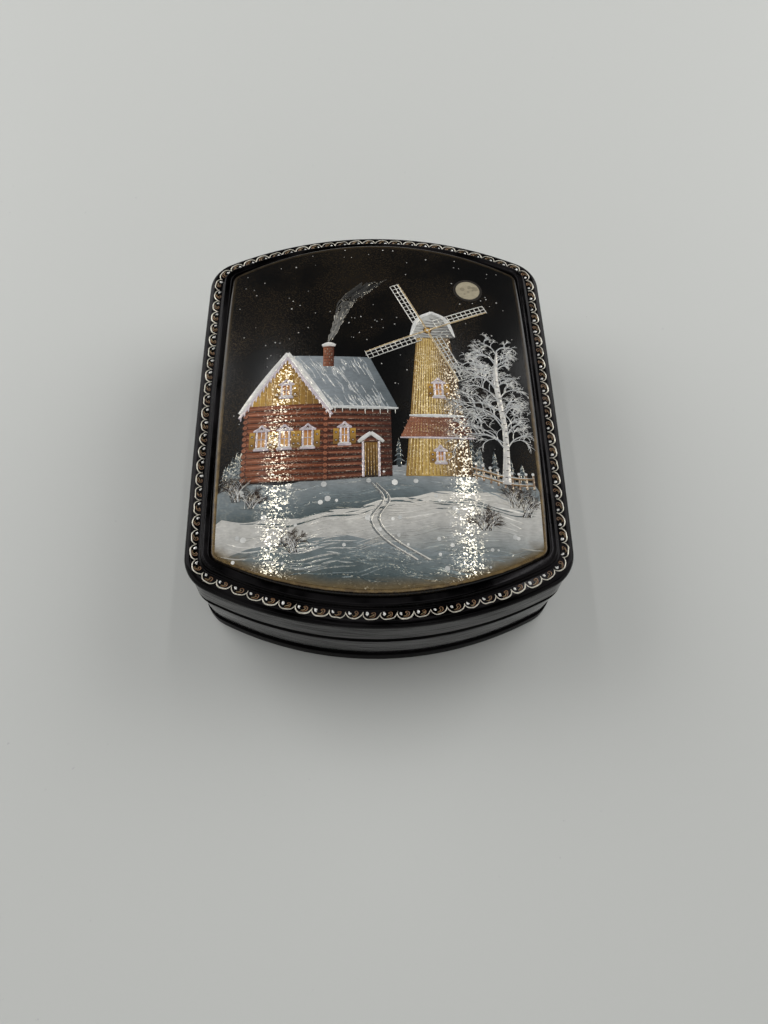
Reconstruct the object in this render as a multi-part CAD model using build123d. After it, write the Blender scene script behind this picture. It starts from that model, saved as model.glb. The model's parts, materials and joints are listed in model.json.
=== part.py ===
from build123d import *
from math import asin, degrees
import os

# A small papier-mache box with a crowned lid on a brass hinge, in millimetres.
# The front faces -Y, the hinge is at the back, and the origin is on the table under the box's middle.

# Plan of the box at its widest, which is the edge of the lid
CASE_WIDTH = 101.0
CASE_DEPTH = 128.6
END_BOW = 13.9
SIDE_BOW = 0.5
CORNER_RADIUS = 10.4
TIGHTEST_CORNER = 0.8

# Distances in from that plan to the outside of the base and the lid's wall
PLINTH_INSET = 0.9
FOOT_INSET = 1.5
BELLY_INSET = 0.8
SHOULDER_INSET = 1.3

# Bottom board and the two rings sawn from one wound tube, with the dark line between them
BOTTOM_THICKNESS = 4.5
BOTTOM_ROUNDING = 0.5
BASE_WALL_HEIGHT = 12.6
LID_WALL_HEIGHT = 11.4
WALL_THICKNESS = 4.5
SEAM_GAP = 0.25

# Collar glued inside the base, which the lid closes over
COLLAR_THICKNESS = 1.6
COLLAR_RISE = 2.2
COLLAR_CLEARANCE = 0.3
COLLAR_ROUNDING = 0.5

# Moulded rim of the lid: a half-round edge, a flat band for the border and a step up to the picture
RIM_UNDER_RADIUS = 1.3
RIM_EDGE_LAND = 0.1
RIM_OVER_RADIUS = 1.9
BAND_WIDTH = 2.7
STEP_RISE = 1.95
STEP_WIDTH = 2.2
STEP_ROUNDING = 0.7
STEP_COVE = 0.8
SEAT_HEIGHT = 2.2
SEAT_WIDTH = 2.8

# Crowned picture board, seated inside the rim
PANEL_CLEARANCE = 0.1
PANEL_EDGE_RISE = 1.35
PANEL_CROWN = 3.1
PANEL_THICKNESS = 3.4
PANEL_ROUNDING = 0.9

# Brass hinge let into the two walls at the back
HINGE_LENGTH = 28.0
KNUCKLE_COUNT = 5
KNUCKLE_RADIUS = 1.3
KNUCKLE_GAP = 0.2
PIN_RADIUS = 0.5
PIN_CLEARANCE = 0.05
LEAF_THICKNESS = 0.6
LEAF_REACH = 3.3
RECESS_CLEARANCE = 0.15
NOTCH_CLEARANCE = 0.3

# Nails that hold each leaf
NAIL_RADIUS = 0.4
NAIL_LENGTH = 4.5
NAIL_HEAD_RADIUS = 0.7
NAIL_HEAD_THICKNESS = 0.3
NAIL_PLACE_SHARES = (-0.75, -0.26, 0.26, 0.75)

# How far cutting shapes run past what they cut
OVERRUN = 5.0

# Heights above the table
base_wall_foot = BOTTOM_THICKNESS
base_wall_top = base_wall_foot + BASE_WALL_HEIGHT
hinge_height = base_wall_top + SEAM_GAP / 2
lid_wall_foot = base_wall_top + SEAM_GAP
lid_wall_top = lid_wall_foot + LID_WALL_HEIGHT
rim_top = lid_wall_top + RIM_UNDER_RADIUS + RIM_EDGE_LAND + RIM_OVER_RADIUS
step_top = rim_top + STEP_RISE
panel_seat = lid_wall_top + SEAT_HEIGHT
panel_edge = step_top + PANEL_EDGE_RISE
panel_top = panel_edge + PANEL_CROWN

# Distances in from the plan
wall_inner = BELLY_INSET + WALL_THICKNESS
lid_wall_inner = wall_inner - COLLAR_CLEARANCE
collar_inner = wall_inner + COLLAR_THICKNESS
step_inset = RIM_OVER_RADIUS + BAND_WIDTH
rim_inner = step_inset + STEP_WIDTH
panel_inset = rim_inner + PANEL_CLEARANCE
seat_inner = rim_inner + SEAT_WIDTH

# Hinge line: the back of the barrel is level with the lid's edge
hinge_y = CASE_DEPTH / 2 - KNUCKLE_RADIUS
notch_radius = KNUCKLE_RADIUS + NOTCH_CLEARANCE
nail_y = hinge_y - (notch_radius + LEAF_REACH) / 2
knuckle_length = (HINGE_LENGTH - (KNUCKLE_COUNT - 1) * KNUCKLE_GAP) / KNUCKLE_COUNT
knuckle_pitch = knuckle_length + KNUCKLE_GAP


def bow_radius(half_chord, bow):
    """Radius of the arc that rises by bow over a chord."""
    return (half_chord**2 + bow**2) / (2 * bow)


end_radius = bow_radius(CASE_WIDTH / 2 - SIDE_BOW, END_BOW)
side_radius = bow_radius(CASE_DEPTH / 2 - END_BOW, SIDE_BOW)


def outline(inset, height=0):
    """The box's plan, drawn in by inset: where four large discs overlap, with rounded corners."""
    end_disc = Circle(end_radius - inset)
    side_disc = Circle(side_radius - inset)
    end_centre = end_radius - CASE_DEPTH / 2
    side_centre = side_radius - CASE_WIDTH / 2
    plan = Pos(0, end_centre) * end_disc & Pos(0, -end_centre) * end_disc
    plan = plan & Pos(side_centre, 0) * side_disc & Pos(-side_centre, 0) * side_disc
    plan = fillet(plan.vertices(), max(CORNER_RADIUS - inset, TIGHTEST_CORNER))
    return Pos(0, 0, height) * plan


def slab(inset, bottom, top):
    """A plate of the box's plan between two heights."""
    return extrude(outline(inset, bottom), amount=top - bottom)


def tapered(bottom_inset, bottom, top_inset, top):
    """A plate whose edge leans from one inset to another."""
    return loft([outline(bottom_inset, bottom).face(), outline(top_inset, top).face()], ruled=True)


def edges_at(shape, height):
    """The edges of a shape that lie all at one height."""
    return shape.edges().filter_by(Plane.XY).filter_by_position(Axis.Z, height, height)


def along_hinge(radius, start, length):
    """A round bar on the hinge line, from start measured from the hinge's middle."""
    bar = Cylinder(radius, length, rotation=(0, 90, 0), align=(Align.CENTER, Align.CENTER, Align.MIN))
    return Pos(start, hinge_y, hinge_height) * bar


def leaf_recess(side):
    """Room for the barrel and one leaf in a wall: side is 1 above the seam and -1 below."""
    half_length = HINGE_LENGTH / 2 + KNUCKLE_GAP
    barrel_room = along_hinge(notch_radius, -half_length, 2 * half_length)
    behind = Pos(0, hinge_y, hinge_height) * Box(
        2 * half_length, OVERRUN, 2 * notch_radius, align=(Align.CENTER, Align.MIN, Align.CENTER)
    )
    leaf_room = Pos(0, hinge_y, hinge_height + side * (SEAM_GAP / 2 + LEAF_THICKNESS / 2)) * Box(
        HINGE_LENGTH + 2 * RECESS_CLEARANCE,
        LEAF_REACH + RECESS_CLEARANCE,
        LEAF_THICKNESS,
        align=(Align.CENTER, Align.MAX, Align.CENTER),
    )
    return barrel_room + behind + leaf_room


def nails(side):
    """One leaf's nails, driven away from the seam, with their heads flush in the leaf."""
    upright = (Align.CENTER, Align.CENTER, Align.MIN)
    head = Cone(NAIL_HEAD_RADIUS, NAIL_RADIUS, NAIL_HEAD_THICKNESS, align=upright)
    shank = Cylinder(NAIL_RADIUS, NAIL_LENGTH, align=upright)
    nail = head + shank
    turned = nail if side > 0 else Rot(180, 0, 0) * nail
    face = hinge_height + side * SEAM_GAP / 2
    return [Pos(share * HINGE_LENGTH / 2, nail_y, face) * turned for share in NAIL_PLACE_SHARES]


def hinge_leaf(side, own_knuckles, bore):
    """One leaf with its knuckles, cut back where the other leaf's knuckles turn."""
    leaf = Pos(0, hinge_y, hinge_height + side * (SEAM_GAP / 2 + LEAF_THICKNESS / 2)) * Box(
        HINGE_LENGTH, LEAF_REACH, LEAF_THICKNESS, align=(Align.CENTER, Align.MAX, Align.CENTER)
    )
    for index in range(KNUCKLE_COUNT):
        start = index * knuckle_pitch - HINGE_LENGTH / 2
        if index in own_knuckles:
            leaf += along_hinge(KNUCKLE_RADIUS, start, knuckle_length)
        else:
            turning_room = knuckle_length + 2 * KNUCKLE_GAP
            leaf -= along_hinge(KNUCKLE_RADIUS + KNUCKLE_GAP, start - KNUCKLE_GAP, turning_room)
    leaf -= along_hinge(bore, -HINGE_LENGTH, 2 * HINGE_LENGTH)
    for nail in nails(side):
        leaf -= nail
    return leaf


def base_bottom():
    """The bottom board, whose edge stands out under the wall as a low plinth."""
    board = slab(PLINTH_INSET, 0, BOTTOM_THICKNESS)
    board = fillet(edges_at(board, BOTTOM_THICKNESS), FOOT_INSET - PLINTH_INSET)
    return fillet(edges_at(board, 0), BOTTOM_ROUNDING)


def base_wall():
    """The lower ring, leaning in from the seam down to its foot."""
    ring = tapered(FOOT_INSET, base_wall_foot, BELLY_INSET, base_wall_top)
    ring -= slab(wall_inner, base_wall_foot - OVERRUN, base_wall_top + OVERRUN)
    ring -= leaf_recess(-1)
    for nail in nails(-1):
        ring -= nail
    return ring


def base_collar():
    """The thin ring glued inside the base, standing above the seam."""
    top = base_wall_top + COLLAR_RISE
    ring = slab(wall_inner, base_wall_foot, top)
    ring = fillet(edges_at(ring, top), COLLAR_ROUNDING)
    return ring - slab(collar_inner, base_wall_foot - OVERRUN, top + OVERRUN)


def lid_wall():
    """The upper ring, leaning in from the seam up to the rim."""
    ring = tapered(BELLY_INSET, lid_wall_foot, SHOULDER_INSET, lid_wall_top)
    ring -= slab(lid_wall_inner, lid_wall_foot - OVERRUN, lid_wall_top + OVERRUN)
    ring -= leaf_recess(1)
    for nail in nails(1):
        ring -= nail
    return ring


def lid_rim():
    """The moulded frame on the lid: rounded edge, border band, and the step round the picture."""
    edge = slab(0, lid_wall_top, rim_top)
    edge = fillet(edges_at(edge, rim_top), RIM_OVER_RADIUS)
    edge = fillet(edges_at(edge, lid_wall_top), RIM_UNDER_RADIUS)
    step = slab(step_inset, lid_wall_top, step_top)
    step = fillet(edges_at(step, step_top), STEP_ROUNDING)
    frame = edge + step
    band = frame.faces().filter_by(Plane.XY).filter_by_position(Axis.Z, rim_top, rim_top)[0]
    frame = fillet(band.inner_wires()[0].edges(), STEP_COVE)
    frame -= slab(rim_inner, panel_seat, step_top + OVERRUN)
    return frame - slab(seat_inner, lid_wall_top - OVERRUN, step_top + OVERRUN)


def crowned(drop):
    """A deep block whose top is the crowned surface, lowered by drop and curving both ways."""
    half_width = CASE_WIDTH / 2 - panel_inset
    half_depth = CASE_DEPTH / 2 - panel_inset
    across = bow_radius(half_width, PANEL_CROWN) - drop
    lengthwise = bow_radius(half_depth, PANEL_CROWN) - drop
    top = panel_top - drop
    side = half_width + OVERRUN
    shoulder = top - across + (across**2 - side**2) ** 0.5
    arc = ThreePointArc((-side, shoulder), (0, top), (side, shoulder))
    sides = Polyline((side, shoulder), (side, 0), (-side, 0), (-side, shoulder))
    section = Plane.XZ * make_face([arc, sides])
    axle = Axis((0, 0, top - lengthwise), (1, 0, 0))
    turn = degrees(asin((half_depth + OVERRUN) / lengthwise))
    return revolve(section.rotate(axle, -turn), axle, 2 * turn)


def lid_panel():
    """The picture board: crowned on top, hollowed below and flat where it sits in the rim."""
    board = slab(panel_inset, panel_seat, panel_top + OVERRUN) & crowned(0)
    board = fillet(board.faces().sort_by(Axis.Z)[-1].edges(), PANEL_ROUNDING)
    hollow = slab(seat_inner, panel_seat - OVERRUN, panel_top) & crowned(PANEL_THICKNESS)
    return board - hollow


base_knuckles = range(0, KNUCKLE_COUNT, 2)
lid_knuckles = range(1, KNUCKLE_COUNT, 2)
pieces = {
    "base_bottom": base_bottom(),
    "base_wall": base_wall(),
    "base_collar": base_collar(),
    "lid_wall": lid_wall(),
    "lid_rim": lid_rim(),
    "lid_panel": lid_panel(),
    "hinge_base_leaf": hinge_leaf(-1, base_knuckles, PIN_RADIUS),
    "hinge_lid_leaf": hinge_leaf(1, lid_knuckles, PIN_RADIUS + PIN_CLEARANCE),
    "hinge_pin": along_hinge(PIN_RADIUS, -HINGE_LENGTH / 2, HINGE_LENGTH),
    "hinge_base_nails": Compound(nails(-1)),
    "hinge_lid_nails": Compound(nails(1)),
}

os.makedirs("parts", exist_ok=True)
for name, piece in pieces.items():
    export_step(piece, f"parts/{name}.step")
    print(name, round(piece.volume))
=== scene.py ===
# %% [markdown]
# # A painted lacquer box
# A small hinged box of papier-mache, lacquered black outside and red inside. Its lid carries a
# crowned picture in a moulded rim, with a border of brush scrolls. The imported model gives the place
# of every piece, and this script gives each one its finished surface.

# %% Load the frame
import json
import math
import random

import bmesh
import bpy
from mathutils import Matrix, Vector

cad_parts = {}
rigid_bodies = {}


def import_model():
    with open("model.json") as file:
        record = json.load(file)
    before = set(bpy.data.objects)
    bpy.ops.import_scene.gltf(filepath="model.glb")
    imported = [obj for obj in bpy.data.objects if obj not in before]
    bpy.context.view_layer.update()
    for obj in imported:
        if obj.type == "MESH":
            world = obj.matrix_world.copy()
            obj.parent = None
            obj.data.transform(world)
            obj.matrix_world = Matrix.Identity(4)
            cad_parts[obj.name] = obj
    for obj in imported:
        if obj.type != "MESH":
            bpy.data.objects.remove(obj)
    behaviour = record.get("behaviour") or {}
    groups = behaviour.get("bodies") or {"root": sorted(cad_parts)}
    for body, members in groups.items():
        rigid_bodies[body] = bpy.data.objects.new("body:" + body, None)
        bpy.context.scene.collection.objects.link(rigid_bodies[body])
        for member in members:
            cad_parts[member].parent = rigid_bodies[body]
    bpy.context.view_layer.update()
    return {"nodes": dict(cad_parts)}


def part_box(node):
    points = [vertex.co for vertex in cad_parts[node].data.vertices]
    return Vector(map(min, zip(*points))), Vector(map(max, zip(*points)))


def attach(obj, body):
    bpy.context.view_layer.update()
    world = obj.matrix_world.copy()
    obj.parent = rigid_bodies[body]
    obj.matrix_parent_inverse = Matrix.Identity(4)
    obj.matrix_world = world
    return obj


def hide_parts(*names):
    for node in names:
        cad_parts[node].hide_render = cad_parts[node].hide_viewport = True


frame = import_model()
MM = 0.001


def lowest(node):
    """A node's lowest corner in millimetres."""
    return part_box(node)[0] / MM


def highest(node):
    """A node's highest corner in millimetres."""
    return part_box(node)[1] / MM


print("pieces in the frame:", ", ".join(sorted(frame["nodes"])))

# %% [markdown]
# ## Camera
# The picture was taken by hand, from above the front edge, with a phone's wide lens. A camera that
# is turned in three plain steps, first round the upright, then down, then a little to one side, is
# easier to correct later than one that tracks a target.

# %% Camera
CAMERA_PLACE = Vector((-3.856, -125.501, 218.343))
CAMERA_TURN = math.radians(3.14)
CAMERA_DIP = math.radians(63.58)
CAMERA_ROLL = math.radians(2.235)
CAMERA_LENS = 27.92
CAMERA_SENSOR = 36.0


def new_object(name, data):
    """An object at the origin, linked to the scene."""
    made = bpy.data.objects.new(name, data)
    bpy.context.scene.collection.objects.link(made)
    return made


camera_data = bpy.data.cameras.new("camera")
camera_data.lens = CAMERA_LENS
camera_data.sensor_width = CAMERA_SENSOR
camera_data.clip_start = 1 * MM
camera = new_object("camera", camera_data)
camera.matrix_world = (
    Matrix.Translation(CAMERA_PLACE * MM)
    @ Matrix.Rotation(-CAMERA_TURN, 4, "Z")
    @ Matrix.Rotation(math.pi / 2 - CAMERA_DIP, 4, "X")
    @ Matrix.Rotation(CAMERA_ROLL, 4, "Z")
)
bpy.context.scene.camera = camera
bpy.context.scene.view_settings.view_transform = "Standard"
print("camera is", round((CAMERA_PLACE - highest("lid_panel")).length), "mm from the lid's corner")

# %% [markdown]
# ## Node trees written as sums
# Shader and Geometry Nodes trees are hard to read as lists of links. A wire here wraps one socket:
# arithmetic on wires adds Math nodes, and every other node comes from the method `node` or from a
# short form of it. A tree then reads from top to bottom, like the sums that it stands for.

# %% Wires
class Wire:
    """An output socket of a node tree. Sums on it add Math nodes to the tree."""

    def __init__(self, tree, socket=None):
        self.tree = tree
        self.socket = socket

    def node(self, kind, sockets=None, output=None, **settings):
        """A new node of the same tree, with its settings and with values or wires for its sockets."""
        made = self.tree.nodes.new(kind)
        for name, value in settings.items():
            setattr(made, name, value)
        for name, value in (sockets or {}).items():
            socket = in_use(made.inputs, name)
            if isinstance(value, Wire):
                self.tree.links.new(value.socket, socket)
            else:
                socket.default_value = value
        return Wire(self.tree, in_use(made.outputs, output))

    def math(self, operation, *values):
        """A Math node on this wire and the other values."""
        sockets = dict(enumerate((self, *values)))
        return self.node("ShaderNodeMath", sockets, operation=operation)

    def vector(self, operation, sockets, output=None):
        """A Vector Math node whose first socket takes this wire."""
        return self.node("ShaderNodeVectorMath", {0: self, **sockets}, output, operation=operation)

    def part(self, axis):
        """One part of this vector."""
        return self.node("ShaderNodeSeparateXYZ", {"Vector": self}, axis)

    def __add__(self, other):
        return self.math("ADD", other)

    def __mul__(self, other):
        return self.math("MULTIPLY", other)

    def __sub__(self, other):
        return self.math("SUBTRACT", other)

    def __rsub__(self, other):
        return self.math("MULTIPLY", -1.0).math("ADD", other)

    __radd__ = __add__
    __rmul__ = __mul__

    def step(self, start, end):
        """A soft step: 0 up to start, 1 from end on."""
        sockets = {"Value": self, "From Min": start, "From Max": end}
        return self.node("ShaderNodeMapRange", sockets, interpolation_type="SMOOTHSTEP")

    def colours(self, first, second):
        """The first colour where this wire is 0 and the second where it is 1."""
        return self.node("ShaderNodeMix", {"Factor": self, "A": first, "B": second}, data_type="RGBA")


def in_use(sockets, name):
    """The socket in use under a name or number, or the first one in use where there is no name."""
    if isinstance(name, int):
        return sockets[name]
    return next((socket for socket in sockets if socket.enabled and name in (None, socket.name)), None)


def grey(level):
    """A neutral colour of one level."""
    return (level, level, level, 1.0)


def new_material(name):
    """An empty material and a wire to start its tree from."""
    material = bpy.data.materials.new(name)
    material.use_nodes = True
    material.node_tree.nodes.clear()
    return material, Wire(material.node_tree)


def surface(wire, sockets, second=None, share=0.0):
    """Ends a material in a Principled shader, or in two of them with a share of the second."""
    shader = wire.node("ShaderNodeBsdfPrincipled", sockets)
    if second:
        second = wire.node("ShaderNodeBsdfPrincipled", second)
        shader = wire.node("ShaderNodeMixShader", {0: share, 1: shader, 2: second})
    wire.node("ShaderNodeOutputMaterial", {"Surface": shader})


def own_place(wire):
    """The place of each point in its own piece."""
    return wire.node("ShaderNodeTexCoord", output="Object")


def spots(wire, size, detail=2.0, stretch=(1, 1, 1), slant=0.0):
    """Soft noise whose spots are size millimetres across, in the piece's own place."""
    scale = tuple(1 / share for share in stretch)
    sockets = {"Vector": own_place(wire), "Rotation": (0, slant, 0), "Scale": scale}
    place = wire.node("ShaderNodeMapping", sockets, vector_type="TEXTURE")
    sockets = {"Vector": place, "Scale": 1 / (size * MM), "Detail": detail}
    return wire.node("ShaderNodeTexNoise", sockets)


def bumped(wire, height):
    """A normal for a surface whose height is given in millimetres."""
    return wire.node("ShaderNodeBump", {"Height": height, "Distance": MM})


print("wires add, take away and multiply")

# %% [markdown]
# ## Studio
# Black lacquer is mostly reflection, so its studio matters more than its colour. The table comes
# first: one large pale face with a few faint specks.

# %% Table
FLOOR_SIZE = 4.0
FLOOR_DROP = 0.02
FLOOR_COLOUR = (0.61, 0.62, 0.595, 1.0)


def new_mesh(name, places, faces):
    """A mesh from places given in millimetres."""
    mesh = bpy.data.meshes.new(name)
    mesh.from_pydata([tuple(value * MM for value in place) for place in places], [], faces)
    return mesh


def box(left, right, foot, top):
    """The four corners of a rectangle."""
    return [(left, foot), (right, foot), (right, top), (left, top)]


floor_material, wire = new_material("pale_table")
speck = spots(wire, 2.0, 4.0).step(0.72, 0.8)
floor_colour = speck.colours(FLOOR_COLOUR, grey(0.5))
surface(wire, {"Base Color": floor_colour, "Roughness": 0.55, "Specular IOR Level": 0.3})
half = FLOOR_SIZE / 2 / MM
floor_corners = [(x, y, -FLOOR_DROP) for x, y in box(-half, half, -half, half)]
floor_mesh = new_mesh("table_top", floor_corners, [(0, 1, 2, 3)])
floor_mesh.materials.append(floor_material)
floor = new_object("table_top", floor_mesh)
print("table is", FLOOR_SIZE, "m wide")

# %% [markdown]
# The room is pale behind the box and all round near the floor, and dark above the front, where the
# photographer stands. One dark cloth, which photographers call a flag, hangs high behind the box,
# where the lid mirrors it. A few soft steps in the world's own tree do this without any objects.

# %% Room
ROOM_LIGHT = 0.70
FRONT_SHARE = 0.05
FRONT_FADE = (-0.55, 0.35)
LOW_FADE = (0.28, 0.50)
FLAG_LIGHT = 0.035
FLAG_WAY = Vector((0, 0.57, 0.82))
FLAG_EDGE = (0.66, 0.84)
FLAG_SIDE_EDGE = (0.33, 0.62)

world = bpy.data.worlds.new("room")
bpy.context.scene.world = world
world.use_nodes = True
world.node_tree.nodes.clear()
wire = Wire(world.node_tree)
direction = wire.node("ShaderNodeTexCoord", output="Generated")
nearness = direction.vector("DOT_PRODUCT", {1: FLAG_WAY}, "Value")
aside = direction.part("X").math("ABSOLUTE")
ahead = direction.part("Y")
height = direction.part("Z")
flag = nearness.step(*FLAG_EDGE) * (1 - aside.step(*FLAG_SIDE_EDGE))
lit = ahead.step(*FRONT_FADE).math("MAXIMUM", 1 - height.step(*LOW_FADE))
lit = lit.colours(grey(ROOM_LIGHT * FRONT_SHARE), grey(ROOM_LIGHT))
room = flag.colours(lit, grey(FLAG_LIGHT))
background = wire.node("ShaderNodeBackground", {"Color": room, "Strength": 1.0})
wire.node("ShaderNodeOutputWorld", {"Surface": background})
print("room tree has", len(world.node_tree.nodes), "nodes")

# %% [markdown]
# Two wide soft lamps stand on either side and a smaller one hangs over the front. Two long thin
# lamps run overhead from front to back, and the metal powder glitters in these.

# %% Lamps
SOFT_LAMP_SIZE = 1.1
SOFT_LAMP_DISTANCE = 1.3
SOFT_LAMP_LIFT = math.radians(26)
SOFT_LAMP_SPREAD = math.radians(62)
SOFT_LAMP_LEVEL = 2.45
TOP_LAMP_SIZE = (0.7, 0.55)
TOP_LAMP_PLACE = (0.0, -0.2, 1.3)
TOP_LAMP_LEVEL = 1.0
STRIP_HEIGHT = 1.0
STRIP_WIDTH = 0.04
STRIP_START = 0.12
STRIP_END = 0.86
STRIP_SIDES = (-0.36, 0.255)
STRIP_LEVEL = 11.0


def lamp(name, place, width, length, level):
    """A rectangular lamp that faces down and is equally bright all over."""
    data = bpy.data.lights.new(name, "AREA")
    data.shape = "RECTANGLE"
    data.size = width
    data.size_y = length
    data.energy = level * math.pi * width * length
    made = new_object(name, data)
    made.location = place
    return made


for side in (-1, 1):
    flat = SOFT_LAMP_DISTANCE * math.cos(SOFT_LAMP_LIFT)
    place = Vector((
        side * flat * math.sin(SOFT_LAMP_SPREAD),
        flat * math.cos(SOFT_LAMP_SPREAD),
        SOFT_LAMP_DISTANCE * math.sin(SOFT_LAMP_LIFT),
    ))
    soft = lamp(f"soft_lamp_{side}", place, SOFT_LAMP_SIZE, SOFT_LAMP_SIZE, SOFT_LAMP_LEVEL)
    soft.rotation_euler = (-place).to_track_quat("-Z", "Y").to_euler()
lamp("top_lamp", TOP_LAMP_PLACE, *TOP_LAMP_SIZE, TOP_LAMP_LEVEL)
for number, aside in enumerate(STRIP_SIDES):
    middle = Vector((aside, (STRIP_START + STRIP_END) / 2, STRIP_HEIGHT))
    lamp(f"strip_lamp_{number}", middle, STRIP_WIDTH, STRIP_END - STRIP_START, STRIP_LEVEL)
print("lamps: two soft ones at the sides, one on top and two long ones above")

# %% [markdown]
# ## The plan of the box
# The board is wound on a former, so every ring of the box follows one plan: bowed ends, nearly
# straight sides and rounded corners. It could be drawn as one free curve. Four large circles and a
# corner circle give the true arcs, and drawing the plan in by a distance stays exact. The lid's wall
# has warped a little since it was sawn: its corners are fuller than those of the base below.

# %% Plan
HALF_WIDTH = 50.5
HALF_DEPTH = highest("lid_rim").y
END_BOW = 13.9
SIDE_BOW = 0.5
CORNER_RADIUS = 10.4
WARPED_END_BOW = 13.3
WARPED_CORNER_RADIUS = 8.8
ARC_STEPS = (34, 16, 16)


def bow_radius(half_chord, bow):
    """Radius of the arc that rises by bow over a chord."""
    return (half_chord**2 + bow**2) / (2 * bow)


def crossing(first, first_radius, second, second_radius):
    """Where two circles cross, to the right of the line from the first centre to the second."""
    gap = second - first
    along = (first_radius**2 - second_radius**2 + gap.length_squared) / (2 * gap.length)
    aside = math.sqrt(first_radius**2 - along**2)
    ahead = gap.normalized()
    return first + along * ahead + aside * Vector((ahead.y, -ahead.x))


def bearing(centre, point):
    """The angle at which a point is seen from a centre."""
    return math.atan2(point.y - centre.y, point.x - centre.x)


def plan_shape(end_bow, corner_radius):
    """The three arcs of a quarter of a plan, as centres and radii, and the angles between them."""
    end_radius = bow_radius(HALF_WIDTH - SIDE_BOW, end_bow)
    side_radius = bow_radius(HALF_DEPTH - end_bow, SIDE_BOW)
    end_centre = Vector((0, end_radius - HALF_DEPTH))
    side_centre = Vector((HALF_WIDTH - side_radius, 0))
    corner = crossing(side_centre, side_radius - corner_radius, end_centre, end_radius - corner_radius)
    turns = (-math.pi / 2, bearing(end_centre, corner), bearing(side_centre, corner), 0)
    return ((end_centre, end_radius), (corner, corner_radius), (side_centre, side_radius)), turns


box_shape = plan_shape(END_BOW, CORNER_RADIUS)
warped_shape = plan_shape(WARPED_END_BOW, WARPED_CORNER_RADIUS)
(end_centre, end_radius), _, (side_centre, side_radius) = box_shape[0]


def plan(inset, shape=box_shape):
    """Points round the plan drawn in by inset, counter-clockwise from the middle of the front."""
    arcs, turns = shape
    quarter = []
    for (centre, radius), start, end, steps in zip(arcs, turns, turns[1:], ARC_STEPS):
        for step in range(steps):
            angle = start + (end - start) * (step + 0.5) / steps
            quarter.append(centre + (radius - inset) * Vector((math.cos(angle), math.sin(angle))))
    half = quarter + [Vector((point.x, -point.y)) for point in reversed(quarter)]
    return half + [Vector((-point.x, point.y)) for point in reversed(half)]


print("points round the plan:", len(plan(0)))

# %% [markdown]
# ## Profiles
# Each ring is a moulding: one section carried round the plan. A section is a list of places, each a
# distance in from the widest edge and a height. Every sharp corner of papier-mache is rubbed round
# before it is lacquered, and that small round is what catches the light, so no corner stays sharp.

# %% Heights and insets
BOTTOM_TOP = highest("base_bottom").z
SEAM_BELOW = highest("base_wall").z
SEAM_ABOVE = lowest("lid_wall").z
SEAM_MIDDLE = (SEAM_BELOW + SEAM_ABOVE) / 2
RIM_FOOT = lowest("lid_rim").z
STEP_TOP = highest("lid_rim").z
PANEL_SEAT = lowest("lid_panel").z
PANEL_TOP = highest("lid_panel").z
COLLAR_TOP = highest("base_collar").z


def inset_of(node):
    """How far a node stays in from the widest edge, measured at the front."""
    return lowest(node).y - lowest("lid_rim").y


PLINTH_INSET = inset_of("base_bottom")
BELLY_INSET = inset_of("base_wall")
COLLAR_OUTER = inset_of("base_collar")
PANEL_INSET = inset_of("lid_panel")
FOOT_INSET = 1.5
SHOULDER_INSET = 1.3
COLLAR_THICKNESS = 1.6
LID_WALL_INNER = COLLAR_OUTER - 0.3
RIM_UNDER_RADIUS = 1.3
RIM_OVER_RADIUS = 1.9
BAND_HEIGHT = STEP_TOP - 1.95
STEP_INSET = 4.6
STEP_COVE = 0.8
STEP_ROUNDING = 0.7
RIM_INNER = PANEL_INSET - 0.1
SEAT_INNER = 9.6
print("insets:", PLINTH_INSET, BELLY_INSET, COLLAR_OUTER, PANEL_INSET)

# %% [markdown]
# ## Roundings
# A section needs two kinds of stretch beside flat ones. Corners could be rounded afterwards with a
# bevel, but an arc drawn as part of the section keeps its true radius all round the plan. The walls
# swell a little between their edges, because damp board never dries quite flat.

# %% Roundings
def rounding(inset, height, radius, start, end, steps=8):
    """An arc of a section about a centre, from one angle to another, in degrees.

    Angle 0 points outwards from the box and angle 90 points up."""
    angles = [math.radians(start + (end - start) * step / steps) for step in range(steps + 1)]
    return [(inset - radius * math.cos(angle), height + radius * math.sin(angle)) for angle in angles]


def belly(start, end, rise, steps=10):
    """A nearly straight stretch of a section that swells outwards by rise in its middle."""
    shares = [step / steps for step in range(steps + 1)]
    line = [[a + (b - a) * share for a, b in zip(start, end)] for share in shares]
    return [(inset - rise * 4 * at * (1 - at), height) for (inset, height), at in zip(line, shares)]


print("a rounding has", len(rounding(0, 0, 1, 0, 90)), "places")

# %% [markdown]
# ## Sweeping a ring
# A ring could be spun, lofted or cut from blocks. Here a Geometry Nodes tree carries a section
# round the plan, because the same tree then makes the wall, the collar and the rim. The section is
# in two parts, outside and inside, so that the tree can give black lacquer to one and red to the
# other. Heights in a section run downwards along the curve's Y axis, as Curve to Mesh lays it out.

# %% Curves and trees
def take_out(*helpers):
    """Removes helper objects from the scene."""
    for helper in helpers:
        bpy.data.objects.remove(helper)


def line_object(name, points, closed):
    """A curve of straight runs through points given in millimetres."""
    data = bpy.data.curves.new(name, "CURVE")
    data.dimensions = "3D"
    data.twist_mode = "Z_UP"
    spline = data.splines.new("POLY")
    spline.points.add(len(points) - 1)
    for knot, point in zip(spline.points, points):
        knot.co = (point[0] * MM, point[1] * MM, (point[2] if len(point) > 2 else 0) * MM, 1)
    spline.use_cyclic_u = closed
    return new_object(name, data)


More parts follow.
